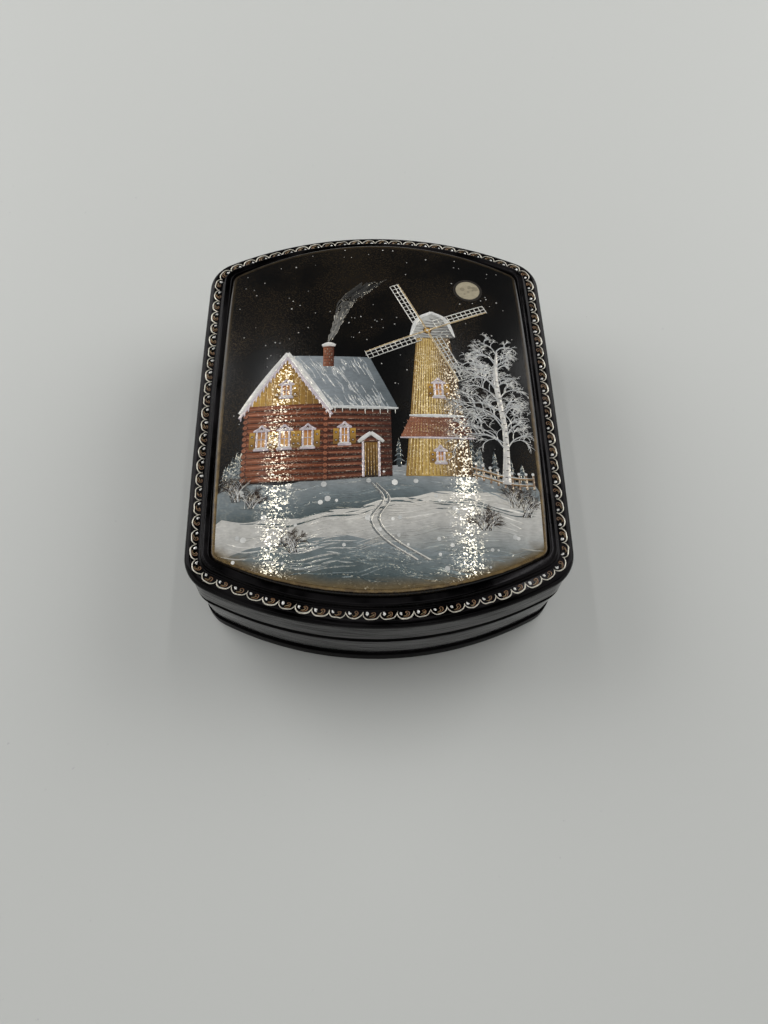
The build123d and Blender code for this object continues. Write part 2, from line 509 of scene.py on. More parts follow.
def new_tree(name, inputs):
    """A Geometry Nodes tree with named inputs, a wire for each and a wire to its output."""
    tree = bpy.data.node_groups.new(name, "GeometryNodeTree")
    tree.interface.new_socket("Geometry", in_out="OUTPUT", socket_type="NodeSocketGeometry")
    for label, kind in inputs.items():
        tree.interface.new_socket(label, in_out="INPUT", socket_type=f"NodeSocket{kind}")
    entry = tree.nodes.new("NodeGroupInput")
    wires = {label: Wire(tree, entry.outputs[label]) for label in inputs}
    return tree, wires, Wire(tree)


def evaluated(made, name):
    """What an object's modifiers make of it, as a plain mesh."""
    view = bpy.context.evaluated_depsgraph_get()
    mesh = bpy.data.meshes.new_from_object(made.evaluated_get(view), depsgraph=view)
    made.modifiers.clear()
    mesh.name = name
    return mesh


def grown(name, tree, values):
    """Runs a tree on its named inputs and keeps what it makes as a plain mesh object."""
    host = new_object(name + "_host", bpy.data.meshes.new(name + "_host"))
    modifier = host.modifiers.new(name, "NODES")
    modifier.node_group = tree
    for item in tree.interface.items_tree:
        if item.in_out == "INPUT":
            modifier[item.identifier] = values[item.name]
    mesh = evaluated(host, name)
    take_out(host)
    return new_object(name, mesh)


ring_inputs = {
    "Path": "Object",
    "Outside section": "Object",
    "Inside section": "Object",
    "Weld": "Float",
    "Outside lacquer": "Material",
    "Inside lacquer": "Material",
}
ring_tree, ring, wire = new_tree("ring_round_plan", ring_inputs)
path = wire.node("GeometryNodeObjectInfo", {"Object": ring["Path"]}, "Geometry")
skins = []
for label, inside in (("Outside section", False), ("Inside section", True)):
    section = wire.node("GeometryNodeObjectInfo", {"Object": ring[label]}, "Geometry")
    skin = wire.node("GeometryNodeCurveToMesh", {"Curve": path, "Profile Curve": section})
    sockets = {"Geometry": skin, "Name": "inside", "Value": inside}
    skin = wire.node("GeometryNodeStoreNamedAttribute", sockets, data_type="BOOLEAN", domain="FACE")
    skins.append(skin)
joined = wire.node("GeometryNodeJoinGeometry", {"Geometry": skins[0]})
wire.tree.links.new(skins[1].socket, joined.socket.node.inputs["Geometry"])
welded = wire.node("GeometryNodeMergeByDistance", {"Geometry": joined, "Distance": ring["Weld"]})
whole = wire.node("GeometryNodeRealizeInstances", {"Geometry": welded})
whole = wire.node("GeometryNodeSetMaterial", {"Geometry": whole, "Material": ring["Outside lacquer"]})
inside = wire.node("GeometryNodeInputNamedAttribute", {"Name": "inside"}, data_type="BOOLEAN")
sockets = {"Geometry": whole, "Selection": inside, "Material": ring["Inside lacquer"]}
whole = wire.node("GeometryNodeSetMaterial", sockets)
wire.node("NodeGroupOutput", {0: whole})
print("ring tree has", len(ring_tree.nodes), "nodes")

# %% [markdown]
# ## Black lacquer
# The black is a dozen coats of oil lacquer over board, rubbed down between coats. Close by it is
# not flat: it has long soft waves from the board, level and slanting streaks from the rubbing, and
# a few dull patches from handling. The walls keep more of those streaks than the rim, the base is
# paler than the lid, and the foot has the fewest coats and hardly shines, so the four share one
# recipe with different amounts. Beside the seam the lacquer is mixed with a dull black as painted
# shade below the edge of the lid, widest at the corners of the bowed ends. The same dull black shows
# along the deeper streaks, and as painted shade in a strip close under the rim. Below that strip, a
# pale line and a few pale slanting streaks are painted highlights.

# %% Black lacquer
BOWED_ENDS = (42 * MM, 54 * MM)
# Bands of painted shade at the seam and under the rim:
SEAM_SHADE_TOP = (-1.3 * MM, -0.6 * MM)
SEAM_SHADE_FOOT = (0.4 * MM, 0.9 * MM)
RIM_SHADE_STRIP = (-1.5 * MM, -1.2 * MM)
# A painted highlight line, a little below the rim:
HIGHLIGHT_LINE = (-2.1 * MM, -1.7 * MM)
SLANT = math.radians(18)


def black_lacquer(name, paleness, streak_depth, wave_depth, dullness, sheen, dull_and_shade_share):
    """Black lacquer with streaks and waves, dull black painted as shade and pale painted highlights."""
    material, wire = new_material(name)
    streaks = spots(wire, 1.4, 5.0, (0.12, 0.12, 3.2))
    scratches = spots(wire, 0.5, 3.0, (0.05, 0.05, 2.5))
    slants = spots(wire, 1.2, 4.0, (0.14, 0.14, 2.6), SLANT)
    waves = spots(wire, 7.0, 1.0, (1.0, 1.0, 1.6))
    patches = spots(wire, 9.0, 3.0, (0.5, 0.5, 1.2))
    broad = spots(wire, 24.0, 2.0)
    tone = (patches * 0.6 + slants * 0.4).step(0.38, 0.66)
    height = streaks * streak_depth + scratches * (streak_depth * 0.35) + waves * wave_depth
    place = own_place(wire)
    aside = place.part("X").math("ABSOLUTE")
    level = place.part("Z")
    ends = place.part("Y").math("ABSOLUTE").step(*BOWED_ENDS)
    waver = (patches - 0.5) * 0.8 * MM
    reach = aside * ends * 0.03 + ends * 0.9 * MM + waver
    under_seam = SEAM_MIDDLE * MM - level
    under_rim = level - RIM_FOOT * MM + (streaks - 0.5) * 1.2 * MM
    # Painted highlight: a pale line under the rim and pale slanting streaks, laid into the base colour.
    painted_highlight = under_rim.step(*HIGHLIGHT_LINE) * (scratches * 0.6 + patches * 0.5).step(0.45, 0.62)
    painted_highlight = painted_highlight.math("MAXIMUM", slants.step(0.56, 0.72) * 0.12)
    pale = (0.009 * paleness, 0.0078 * paleness, 0.009 * paleness, 1.0)
    highlight_colour = (0.075 * paleness, 0.069 * paleness, 0.073 * paleness, 1.0)
    lacquer = {
        "Base Color": painted_highlight.colours(tone.colours(grey(0.002 * paleness), pale), highlight_colour),
        "Roughness": patches.step(0.4, 0.75) * 0.08 + scratches.step(0.55, 0.8) * dullness + dullness,
        "Specular IOR Level": sheen,
        "Specular Tint": (1.0, 0.94, 0.99, 1.0),
        "Normal": bumped(wire, height),
        "Coat Weight": (slants * 0.5 + patches * 0.25 + broad * 0.25).step(0.34, 0.62) * (1.6 * sheen),
        "Coat Roughness": 0.08,
    }
    # Dull black, mixed in as painted shade at the seam and under the rim, and as a duller surface along the
    # deeper streaks.
    dull = {"Base Color": grey(0.0022), "Roughness": 0.8, "Specular IOR Level": 0.01}
    dull_and_shade = 1 - (under_seam - waver).step(*SEAM_SHADE_FOOT)
    dull_and_shade = dull_and_shade * (under_seam + reach).step(*SEAM_SHADE_TOP)
    dull_and_shade = dull_and_shade.math("MAXIMUM", under_rim.step(*RIM_SHADE_STRIP))
    dull_and_shade = dull_and_shade.math("MAXIMUM", (streaks * 0.7 + scratches * 0.4).step(0.50, 0.70) * 0.5)
    surface(wire, lacquer, dull, dull_and_shade * dull_and_shade_share)
    return material


wall_lacquer = black_lacquer("wall_lacquer", 1.0, 0.035, 0.09, 0.16, 0.36, 1.0)
base_lacquer = black_lacquer("base_lacquer", 1.7, 0.035, 0.09, 0.16, 0.44, 1.0)
rim_lacquer = black_lacquer("rim_lacquer", 0.12, 0.002, 0.02, 0.10, 0.04, 0.0)
foot_lacquer = black_lacquer("foot_lacquer", 0.3, 0.02, 0.05, 0.24, 0.02, 0.4)
print("black lacquers:", wall_lacquer.name, base_lacquer.name, rim_lacquer.name, foot_lacquer.name)

# %% [markdown]
# ## Red lacquer
# Inside, the box is coated with cinnabar red. The coat is thinner, brushed on and not rubbed as
# flat, so it shows faint brush lines and pools a little darker here and there.

# %% Red lacquer
red_lacquer, wire = new_material("red_lacquer")
pools = spots(wire, 11.0, 3.0)
brushing = spots(wire, 0.6, 3.0, (0.15, 1.2, 1.2))
surface(wire, {
    "Base Color": pools.step(0.3, 0.75).colours((0.36, 0.016, 0.008, 1.0), (0.50, 0.036, 0.014, 1.0)),
    "Roughness": pools * 0.12 + 0.16,
    "Normal": bumped(wire, brushing * 0.012 + pools * 0.05),
    "Coat Weight": 0.5,
    "Coat Roughness": 0.05,
})
print("red lacquer:", red_lacquer.name)

# %% [markdown]
# ## Walls, collar and rim
# Four rings come from the one tree. Each is given as two part sections, so a few helpers turn a
# list of places into a curve, run the tree on it and take the helper curves out again.

# %% Rings
SUPPORT_SHARE = 0.06
WELD = 0.004


def flat(start, end):
    """A flat stretch of a section, with a close pair of places at each end to keep its shading flat."""
    shares = (0, SUPPORT_SHARE, 1 - SUPPORT_SHARE, 1)
    return [tuple(a + (b - a) * share for a, b in zip(start, end)) for share in shares]


def section_object(name, places):
    """A section as a curve, with each place once and heights running down its Y axis."""
    kept = [places[0]]
    for place in places[1:]:
        if math.dist(place, kept[-1]) > WELD:
            kept.append(place)
    return line_object(name, [(-inset, -height) for inset, height in kept], False)


def smooth(made, sharp_angle=40):
    """Smooth shading that still breaks at true corners."""
    made.data.shade_smooth()
    made.data.set_sharp_from_angle(angle=math.radians(sharp_angle))
    return made


def ring_piece(name, path, lacquers, outside, inside):
    """One ring of the box, swept round a path from its two part sections."""
    values = {
        "Path": path,
        "Outside section": section_object(name + "_outside", outside),
        "Inside section": section_object(name + "_inside", inside),
        "Weld": WELD * MM,
        "Outside lacquer": lacquers[0],
        "Inside lacquer": lacquers[1],
    }
    made = grown(name, ring_tree, values)
    take_out(values["Outside section"], values["Inside section"])
    print(name, "faces:", len(made.data.polygons))
    return made


plan_path = line_object("plan_path", plan(0), True)
print("plan path has", len(plan_path.data.splines[0].points), "points")

# %% [markdown]
# The wall was one tube until it was sawn in two, so its halves share a belly line. The sawn edges
# are rubbed round, and the lid's half follows the warped plan.

# %% Walls
SEAM_ROUNDING = 0.7
BELLY_RISE = 0.12
warped_path = line_object("warped_path", plan(0, warped_shape), True)
edge = SEAM_ROUNDING
lid_wall = ring_piece("lid_ring", warped_path, (wall_lacquer, red_lacquer), [
    *belly((SHOULDER_INSET, RIM_FOOT), (BELLY_INSET, SEAM_ABOVE + edge), BELLY_RISE),
    *rounding(BELLY_INSET + edge, SEAM_ABOVE + edge, edge, 0, -90),
    *flat((BELLY_INSET + edge, SEAM_ABOVE), (LID_WALL_INNER - edge, SEAM_ABOVE)),
    *rounding(LID_WALL_INNER - edge, SEAM_ABOVE + edge, edge, -90, -180),
], [
    *flat((LID_WALL_INNER, SEAM_ABOVE + edge), (LID_WALL_INNER, RIM_FOOT)),
    (SHOULDER_INSET, RIM_FOOT),
])
base_wall = ring_piece("base_ring", plan_path, (base_lacquer, base_lacquer), [
    *flat((COLLAR_OUTER, SEAM_BELOW), (BELLY_INSET + edge, SEAM_BELOW)),
    *rounding(BELLY_INSET + edge, SEAM_BELOW - edge, edge, 90, 0),
    *belly((BELLY_INSET, SEAM_BELOW - edge), (FOOT_INSET, BOTTOM_TOP), BELLY_RISE),
], [(FOOT_INSET, BOTTOM_TOP), (COLLAR_OUTER, BOTTOM_TOP), (COLLAR_OUTER, SEAM_BELOW)])

# %% [markdown]
# The collar is a strip of board glued inside the base. It stands up past the seam, and the lid
# closes over it. It is red all over, like the inside.

# %% Collar
COLLAR_EDGE = 0.5
collar_inner, edge, foot = COLLAR_OUTER + COLLAR_THICKNESS, COLLAR_EDGE, COLLAR_TOP - COLLAR_EDGE
collar = smooth(ring_piece("inner_collar", plan_path, (red_lacquer, red_lacquer), [
    *rounding(collar_inner - edge, foot, edge, 180, 90),
    *rounding(COLLAR_OUTER + edge, foot, edge, 90, 0),
    *flat((COLLAR_OUTER, foot), (COLLAR_OUTER, BOTTOM_TOP)),
], [
    (COLLAR_OUTER, BOTTOM_TOP),
    *flat((collar_inner, BOTTOM_TOP), (collar_inner, foot)),
]))

# %% [markdown]
# The rim is a moulding glued on top: a half-round edge, a flat band for the border, a small cove,
# and the step that holds the picture.

# %% Rim
RUBBED_EDGE = 0.35
edge = RUBBED_EDGE
rim = smooth(ring_piece("lid_moulding", plan_path, (rim_lacquer, red_lacquer), [
    (SEAT_INNER, PANEL_SEAT),
    *flat((RIM_INNER, PANEL_SEAT), (RIM_INNER, STEP_TOP - edge)),
    *rounding(RIM_INNER - edge, STEP_TOP - edge, edge, 180, 90),
    *rounding(STEP_INSET + STEP_ROUNDING, STEP_TOP - STEP_ROUNDING, STEP_ROUNDING, 90, 0),
    *rounding(STEP_INSET - STEP_COVE, BAND_HEIGHT + STEP_COVE, STEP_COVE, -180, -90),
    *flat((STEP_INSET - STEP_COVE, BAND_HEIGHT), (RIM_OVER_RADIUS, BAND_HEIGHT)),
    *rounding(RIM_OVER_RADIUS, BAND_HEIGHT - RIM_OVER_RADIUS, RIM_OVER_RADIUS, 90, 0, 14),
    *rounding(RIM_UNDER_RADIUS, RIM_FOOT + RIM_UNDER_RADIUS, RIM_UNDER_RADIUS, 0, -90, 12),
], [
    *flat((RIM_UNDER_RADIUS, RIM_FOOT), (SEAT_INNER - edge, RIM_FOOT)),
    *rounding(SEAT_INNER - edge, RIM_FOOT + edge, edge, -90, -180),
    (SEAT_INNER, PANEL_SEAT),
]))

# %% [markdown]
# ## Room for the hinge
# The hinge is let into the back of both walls. The maker saws a notch for the barrel and pares a
# shallow bed for each leaf, and a Boolean cut does the same here.

# %% Hinge notch
HINGE_Y = (lowest("hinge_pin").y + highest("hinge_pin").y) / 2
HINGE_Z = (lowest("hinge_pin").z + highest("hinge_pin").z) / 2
HINGE_HALF_LENGTH = highest("hinge_pin").x
NOTCH_RADIUS = 1.6
NOTCH_END_GAP = 0.2
LEAF_THICKNESS = 0.6
LEAF_BED = 3.45
LEAF_BED_END_GAP = 0.15
CUT_OVERRUN = 5.0
NOTCH_STEPS = 24


def prism(name, places, half_length):
    """A closed bar along X whose section is a list of places in Y and Z."""
    shape = bmesh.new()
    ends = []
    for x in (-half_length, half_length):
        ends.append([shape.verts.new((x * MM, y * MM, z * MM)) for y, z in places])
    for number in range(len(places)):
        following = (number + 1) % len(places)
        shape.faces.new((ends[0][number], ends[0][following], ends[1][following], ends[1][number]))
    shape.faces.new(reversed(ends[0]))
    shape.faces.new(ends[1])
    bmesh.ops.recalc_face_normals(shape, faces=shape.faces)
    mesh = bpy.data.meshes.new(name)
    shape.to_mesh(mesh)
    shape.free()
    return new_object(name, mesh)


def carved(piece, cutters):
    """The piece with every cutter taken out of it."""
    for cutter in cutters:
        cut = piece.modifiers.new(cutter.name, "BOOLEAN")
        cut.operation = "DIFFERENCE"
        cut.solver = "EXACT"
        cut.object = cutter
    piece.data = evaluated(piece, piece.name)
    return smooth(piece)


barrel_room = [
    (HINGE_Y + CUT_OVERRUN, HINGE_Z + NOTCH_RADIUS),
    *rounding(HINGE_Y, HINGE_Z, NOTCH_RADIUS, 90, -90, NOTCH_STEPS),
    (HINGE_Y + CUT_OVERRUN, HINGE_Z - NOTCH_RADIUS),
]
barrel_cutter = prism("barrel_room", barrel_room, HINGE_HALF_LENGTH + NOTCH_END_GAP)
for wall, seam, side in ((lid_wall, SEAM_ABOVE, 1), (base_wall, SEAM_BELOW, -1)):
    bed = box(HINGE_Y - LEAF_BED, HINGE_Y, seam - side * CUT_OVERRUN, seam + side * LEAF_THICKNESS)
    bed_cutter = prism("leaf_bed", bed, HINGE_HALF_LENGTH + LEAF_BED_END_GAP)
    carved(wall, (barrel_cutter, bed_cutter))
    take_out(bed_cutter)
    print(wall.name, "after carving:", len(wall.data.polygons), "faces")
take_out(barrel_cutter)

# %% [markdown]
# ## Bottom board and picture board
# A board is closed in the middle, so a sweep round the plan cannot make it. It is stacked from
# loops instead: loops drawn in from the plan near its edge, and smaller copies of the last loop
# towards the middle. The picture board is crowned both ways, like a shallow shield.

# %% Boards
INNER_LOOP_SHARES = [1 - step / 26 for step in range(1, 26)]
PANEL_EDGE = STEP_TOP + 1.35
crown_rise = PANEL_TOP - PANEL_EDGE
across_radius = bow_radius(HALF_WIDTH - PANEL_INSET, crown_rise)
lengthwise_radius = bow_radius(HALF_DEPTH - PANEL_INSET, crown_rise)


def crown(x, y):
    """Height of the picture's surface over a place on the plan."""
    hoop = lengthwise_radius - across_radius + math.sqrt(across_radius**2 - x**2)
    return PANEL_TOP - lengthwise_radius + math.sqrt(hoop**2 - y**2)


def sunk(depth):
    """A height rule for a face that lies lower than the crown by a depth."""
    return lambda x, y: crown(x, y) - depth


def level(height):
    """A height rule for a flat face."""
    return lambda x, y: height


def loop_at(inset, rule, share=1.0):
    """A loop drawn in from the plan, shrunk to a share of itself, with heights from a rule."""
    places = [point * share for point in plan(inset)]
    return [(point.x, point.y, rule(point.x, point.y)) for point in places]


def stacked(name, rows, materials, first_loops):
    """A closed mesh through loops given from the top middle, out over the edge, to the underside.

    The first loops take the first material and the others take the second."""
    loops = [loop_at(*row) for row in rows]
    count = len(loops[0])
    faces = [tuple(range(count))]
    numbers = [0]
    for stage in range(len(loops) - 1):
        upper, lower = stage * count, (stage + 1) * count
        for step in range(count):
            after = (step + 1) % count
            faces.append((lower + step, lower + after, upper + after, upper + step))
            numbers.append(int(stage >= first_loops))
    faces.append(tuple(reversed(range((len(loops) - 1) * count, len(loops) * count))))
    numbers.append(1)
    mesh = new_mesh(name, [place for loop in loops for place in loop], faces)
    for material in materials:
        mesh.materials.append(material)
    mesh.polygons.foreach_set("material_index", numbers)
    print(name, "faces:", len(faces))
    return smooth(new_object(name, mesh))


print("a loop has", len(plan(SEAT_INNER)), "places")

# %% [markdown]
# The bottom board closes the base. Its edge shows below the wall as a low black plinth, and the
# floor inside is red, so the first loops take the red lacquer.

# %% Bottom board
PLINTH_TOP_ROUNDING = FOOT_INSET - PLINTH_INSET
PLINTH_FOOT_ROUNDING = 0.5
floor_rule, foot_rule = level(BOTTOM_TOP), level(0.0)
rows = [(SEAT_INNER, floor_rule, share) for share in reversed(INNER_LOOP_SHARES)]
rows += [(SEAT_INNER, floor_rule), (collar_inner, floor_rule)]
red_loops = len(rows) - 1
turn = PLINTH_TOP_ROUNDING
places = rounding(PLINTH_INSET + turn, BOTTOM_TOP - turn, turn, 90, 0)
turn = PLINTH_FOOT_ROUNDING
places += rounding(PLINTH_INSET + turn, turn, turn, 0, -90)
rows += [(inset, level(height)) for inset, height in places]
rows += [(PLINTH_INSET + 2 * turn, foot_rule), (SEAT_INNER, foot_rule)]
rows += [(SEAT_INNER, foot_rule, share) for share in INNER_LOOP_SHARES]
board = stacked("bottom_board", rows, (red_lacquer, foot_lacquer), red_loops)

# %% [markdown]
# ## Picture ground
# The picture is painted on black lacquer over a dusting of metal powder, and a thin ochre line
# closes it at the edge. The line follows the edge of the board, so the mesh carries an attribute
# that says how far in from the plan each place is, and the material reads it.

# %% Picture ground
LINE_START = 7.55
LINE_END = 8.35
LINE_COLOUR = (0.19, 0.13, 0.052, 1.0)
LINE_SHADE = (0.10, 0.066, 0.030, 1.0)
SKY_COLOUR = (0.0030, 0.0030, 0.0030, 1.0)
GLOW_COLOUR = (0.012, 0.0098, 0.0078, 1.0)
DUST_COLOUR = (0.060, 0.042, 0.022, 1.0)
FLAKE_SIZE = 0.36
FLAKE_TILT = 0.034


def flakes(wire, share, size=FLAKE_SIZE, tilt=FLAKE_TILT):
    """Metal powder: a mask of the flakes that show and a normal that tips each one its own way."""
    cells = {"Vector": own_place(wire), "Scale": 1 / (size * MM), "Randomness": 1.0}
    chance = wire.node("ShaderNodeTexVoronoi", cells, "Color")
    mask = wire.node("ShaderNodeSeparateColor", {"Color": chance}).math("LESS_THAN", share)
    offset = chance.vector("SUBTRACT", {1: (0.5, 0.5, 0.5)})
    spread = offset.vector("SCALE", {"Scale": mask * (2 * tilt)})
    straight = wire.node("ShaderNodeNewGeometry", output="Normal")
    return mask, straight.vector("ADD", {1: spread}).vector("NORMALIZE", {})


ground, wire = new_material("picture_ground")
inset = wire.node("ShaderNodeAttribute", output="Fac", attribute_name="inset")
waver = spots(wire, 1.6, 3.0) * 0.35 - 0.17
line_mask = (inset + waver).step(LINE_START - 0.12, LINE_START + 0.12)
line_mask = line_mask * (1 - (inset + waver).step(LINE_END - 0.2, LINE_END + 0.2))
ahead = own_place(wire).part("Y")
line_mask = line_mask * (1 - (ahead + waver * 10 * MM).step(-36 * MM, 24 * MM) * 0.86)
warmth = spots(wire, 26.0, 3.0).step(0.35, 0.75)
dust, tipped = flakes(wire, 0.24, 0.22)
dust = dust * warmth
sky = dust.colours(warmth.colours(SKY_COLOUR, GLOW_COLOUR), DUST_COLOUR)
line_tone = spots(wire, 2.2, 4.0).step(0.3, 0.75).colours(LINE_SHADE, LINE_COLOUR)
surface(wire, {
    "Base Color": line_mask.colours(sky, line_tone),
    "Metallic": dust * 0.7,
    "Roughness": 0.2,
    "Specular IOR Level": 0.2,
    "Normal": tipped,
    "Coat Weight": 0.13,
    "Coat Roughness": 0.12,
})
print("picture ground has", len(ground.node_tree.nodes), "nodes")

# %% [markdown]
# The picture board lies in the step of the rim. Its face follows the crown, its edge is rounded a
# little before it dips behind the step, and its underside is red.

# %% Picture board
PANEL_ROUNDING = 0.9
PANEL_ROUNDING_START = 83
PANEL_EDGE_INSETS = (SEAT_INNER, 9.2, 8.8, 8.4, 8.2, 8.0)
PANEL_THICKNESS = 3.4
rows = [(SEAT_INNER, crown, share) for share in reversed(INNER_LOOP_SHARES)]
rows += [(inset, crown, 1.0) for inset in PANEL_EDGE_INSETS]
turn = PANEL_ROUNDING
places = rounding(PANEL_INSET + turn, -turn, turn, PANEL_ROUNDING_START, 0)
rows += [(inset, sunk(-height), 1.0) for inset, height in places]
insets = [inset + (1 - share) * HALF_WIDTH for inset, _, share in rows]
painted_loops = len(rows)
rows += [(inset, level(PANEL_SEAT)) for inset in (PANEL_INSET, SEAT_INNER)]
rows += [(SEAT_INNER, sunk(PANEL_THICKNESS), share) for share in (1.0, *INNER_LOOP_SHARES)]
insets += [0.0] * (len(rows) - painted_loops)
panel = stacked("picture_board", rows, (ground, red_lacquer), painted_loops)
edge_distance = panel.data.attributes.new("inset", "FLOAT", "POINT")
edge_distance.data.foreach_set("value", [inset for inset in insets for _ in plan(0)])
print("picture is", round(crown_rise, 2), "mm higher in the middle than at its edge")

# %% [markdown]
# ## Brass
# The hinge and its nails keep the shapes of the frame. Old brass is never one colour: it is dull
# and brown where hands don't reach and brighter where it rubs, over fine drawn lines.

# %% Brass
def brass(name, bright, dull, lines, nodes):
    """Drawn brass with tarnish in patches, put on some nodes of the frame."""
    material, wire = new_material(name)
    drawn = spots(wire, 0.25, 3.0, lines)
    tarnish = spots(wire, 1.6, 4.0).step(0.4, 0.68)
    surface(wire, {
        "Base Color": tarnish.colours(bright, dull),
        "Metallic": 1.0,
        "Roughness": tarnish * 0.22 + drawn * 0.14 + 0.2,
        "Normal": bumped(wire, drawn * 0.012),
    })
    for node in nodes:
        frame["nodes"][node].data.materials.clear()
        frame["nodes"][node].data.materials.append(material)
    print(name, "on", ", ".join(nodes))


HINGE_NODES = ("hinge_base_leaf", "hinge_lid_leaf", "hinge_pin")
NAIL_NODES = ("hinge_base_nails", "hinge_lid_nails")
brass("hinge_brass", (0.72, 0.50, 0.22, 1.0), (0.36, 0.22, 0.09, 1.0), (0.08, 1.0, 1.0), HINGE_NODES)
brass("nail_brass", (0.78, 0.58, 0.28, 1.0), (0.42, 0.27, 0.12, 1.0), (1.0, 1.0, 1.0), NAIL_NODES)

# %% [markdown]
# ## Brush strokes
# A brush stroke of thick paint is a low rounded ridge that swells and tapers. A flat decal would
# show the stroke's colour and not its body, so a stroke here is a closed mesh: a smooth line
# through a few places, five corners round it, and a width at its start, middle and end.

# %% Strokes
STROKE_SINK = 0.04
STROKE_CORNERS = ((-1.0, 0.0), (-0.7, 0.75), (0.0, 1.0), (0.7, 0.75), (1.0, 0.0))


def between(before, start, end, after, share):
    """A place on the smooth curve from start to end, which leans towards both neighbours."""
    slope = end - before
    bend = 2 * before - 5 * start + 4 * end - after
    twist = 3 * start - before - 3 * end + after
    return (2 * start + slope * share + bend * share**2 + twist * share**3) / 2


def smooth_line(places, steps):
    """Places along a smooth line through the given ones, with steps between each two."""
    knots = [Vector(place) for place in places]
    knots = [2 * knots[0] - knots[1], *knots, 2 * knots[-1] - knots[-2]]
    line = []
    for four in zip(knots, knots[1:], knots[2:], knots[3:]):
        line += [between(*four, step / steps) for step in range(steps)]
    return line + [knots[-2]]


def swelling(count, start, middle, end):
    """Half widths that change smoothly from start through middle to end."""
    widths = []
    for number in range(count):
        share = number / (count - 1)
        blend = start * (1 - share) + end * share
        widths.append(blend + (middle - blend) * 4 * share * (1 - share))
    return widths


def ridge(line, half_widths, rise):
    """A closed ridge of paint along a line: its corners with their heights, and its faces."""
    places = []
    for number, place in enumerate(line):
        ahead = line[min(number + 1, len(line) - 1)] - line[max(number - 1, 0)]
        aside = Vector((-ahead.y, ahead.x)).normalized() * half_widths[number]
        for across, up in STROKE_CORNERS:
            spot = place + aside * across
            places.append((spot.x, spot.y, up * (rise + STROKE_SINK) - STROKE_SINK))
    corners = len(STROKE_CORNERS)
    last = len(places) - corners
    faces = [tuple(range(corners)), tuple(reversed(range(last, last + corners)))]
    for back in range(0, last, corners):
        front = back + corners
        for number in range(corners):
            after = (number + 1) % corners
            faces.append((back + number, front + number, front + after, back + after))
    return places, faces


print("a stroke has", len(STROKE_CORNERS), "corners round it")

# %% [markdown]
# ## Border of scrolls
# The border is a common one on such boxes: a silver arc that swings outwards and ends in a tick, a
# white drop inside its start, and a bronze comma curled against its end with a fine gilt line
# inside, over and over round the rim. The painter makes each one by hand, so no two are alike. Six
# versions of each stroke are drawn with small slips, and a Geometry Nodes tree lays them along the
# band, turned to follow it. One seed for all four colours keeps the strokes of a scroll together.

# %% Scroll shapes
SCROLL_HEIGHT = 0.86
SCROLL_VERSIONS = 6
SCROLL_SLIP = 0.07
SCROLL_WEIGHTS = (0.8, 1.2)
ARC_PLACES = (
    (-0.95, -0.15), (-0.75, 0.75), (0.05, 1.42), (1.25, 1.6), (2.35, 1.2), (3.05, 0.35), (3.2, -0.5),
)
DROP_PLACES = ((-0.22, -0.34), (-0.04, -0.10), (0.12, 0.10), (0.22, 0.30))
COMMA_PLACES = (
    (0.62, 1.12), (1.35, 0.98), (1.95, 0.42), (2.02, -0.2), (1.62, -0.5), (1.22, -0.22), (1.45, 0.12),
)
OUTLINE_PLACES = ((0.55, 0.82), (1.1, 0.72), (1.55, 0.3), (1.62, -0.05))
SCROLL_STROKES = {
    "arc": (ARC_PLACES, (0.07, 0.18, 0.09), 0.10),
    "drop": (DROP_PLACES, (0.10, 0.36, 0.28), 0.16),
    "comma": (COMMA_PLACES, (0.06, 0.15, 0.105), 0.07),
    "outline": (OUTLINE_PLACES, (0.04, 0.08, 0.04), 0.12),
}


def scroll_versions(kind, seed):
    """A collection with hand-drawn versions of one stroke of the scroll."""
    slips = random.Random(seed)
    places, widths, rise = SCROLL_STROKES[kind]
    group = bpy.data.collections.new(kind)
    for version in range(SCROLL_VERSIONS):
        moved = []
        for ahead, outwards in places:
            slip = Vector((slips.gauss(0, SCROLL_SLIP), slips.gauss(0, SCROLL_SLIP)))
            moved.append(Vector((ahead, -outwards * SCROLL_HEIGHT)) + slip)
        line = smooth_line(moved, 3)
        weight = slips.uniform(*SCROLL_WEIGHTS)
        half_widths = swelling(len(line), *(width * weight for width in widths))
        mesh = new_mesh(f"{kind}_{version}", *ridge(line, half_widths, rise))
        group.objects.link(bpy.data.objects.new(mesh.name, mesh))
    return group


print("strokes of a scroll:", ", ".join(SCROLL_STROKES))

# %% [markdown]
# ## Laying strokes round the rim
# The painter steps round the rim and sets one scroll after another. Copying objects in a loop would
# do, but Instance on Points shows the same idea as a tree: points spread evenly along a line, one
# version of the stroke picked for each, a small turn and a small change of size.

# %% Scroll tree
scroll_inputs = {
    "Path": "Object",
    "Strokes": "Collection",
    "Count": "Int",
    "Versions": "Int",
    "Turn": "Float",
    "Growth": "Float",
    "Seed": "Int",
    "Paint": "Material",
}
scroll_tree, scroll, wire = new_tree("strokes_round_rim", scroll_inputs)
line = wire.node("GeometryNodeObjectInfo", {"Object": scroll["Path"]}, "Geometry")
line = wire.node("GeometryNodeResampleCurve", {"Curve": line, "Count": scroll["Count"]})
tangent = wire.node("GeometryNodeInputTangent")
along = wire.node("FunctionNodeAlignRotationToVector", {"Vector": tangent}, axis="X", pivot_axis="Z")
slip = {"Min": scroll["Turn"] * -1.0, "Max": scroll["Turn"], "Seed": scroll["Seed"] + 1}
slip = wire.node("FunctionNodeRandomValue", slip, data_type="FLOAT")
slip = wire.node("FunctionNodeAxisAngleToRotation", {"Axis": (0, 0, 1), "Angle": slip})
turned = wire.node("FunctionNodeRotateRotation", {"Rotation": along, "Rotate By": slip})
strokes = {"Collection": scroll["Strokes"], "Separate Children": True, "Reset Children": True}
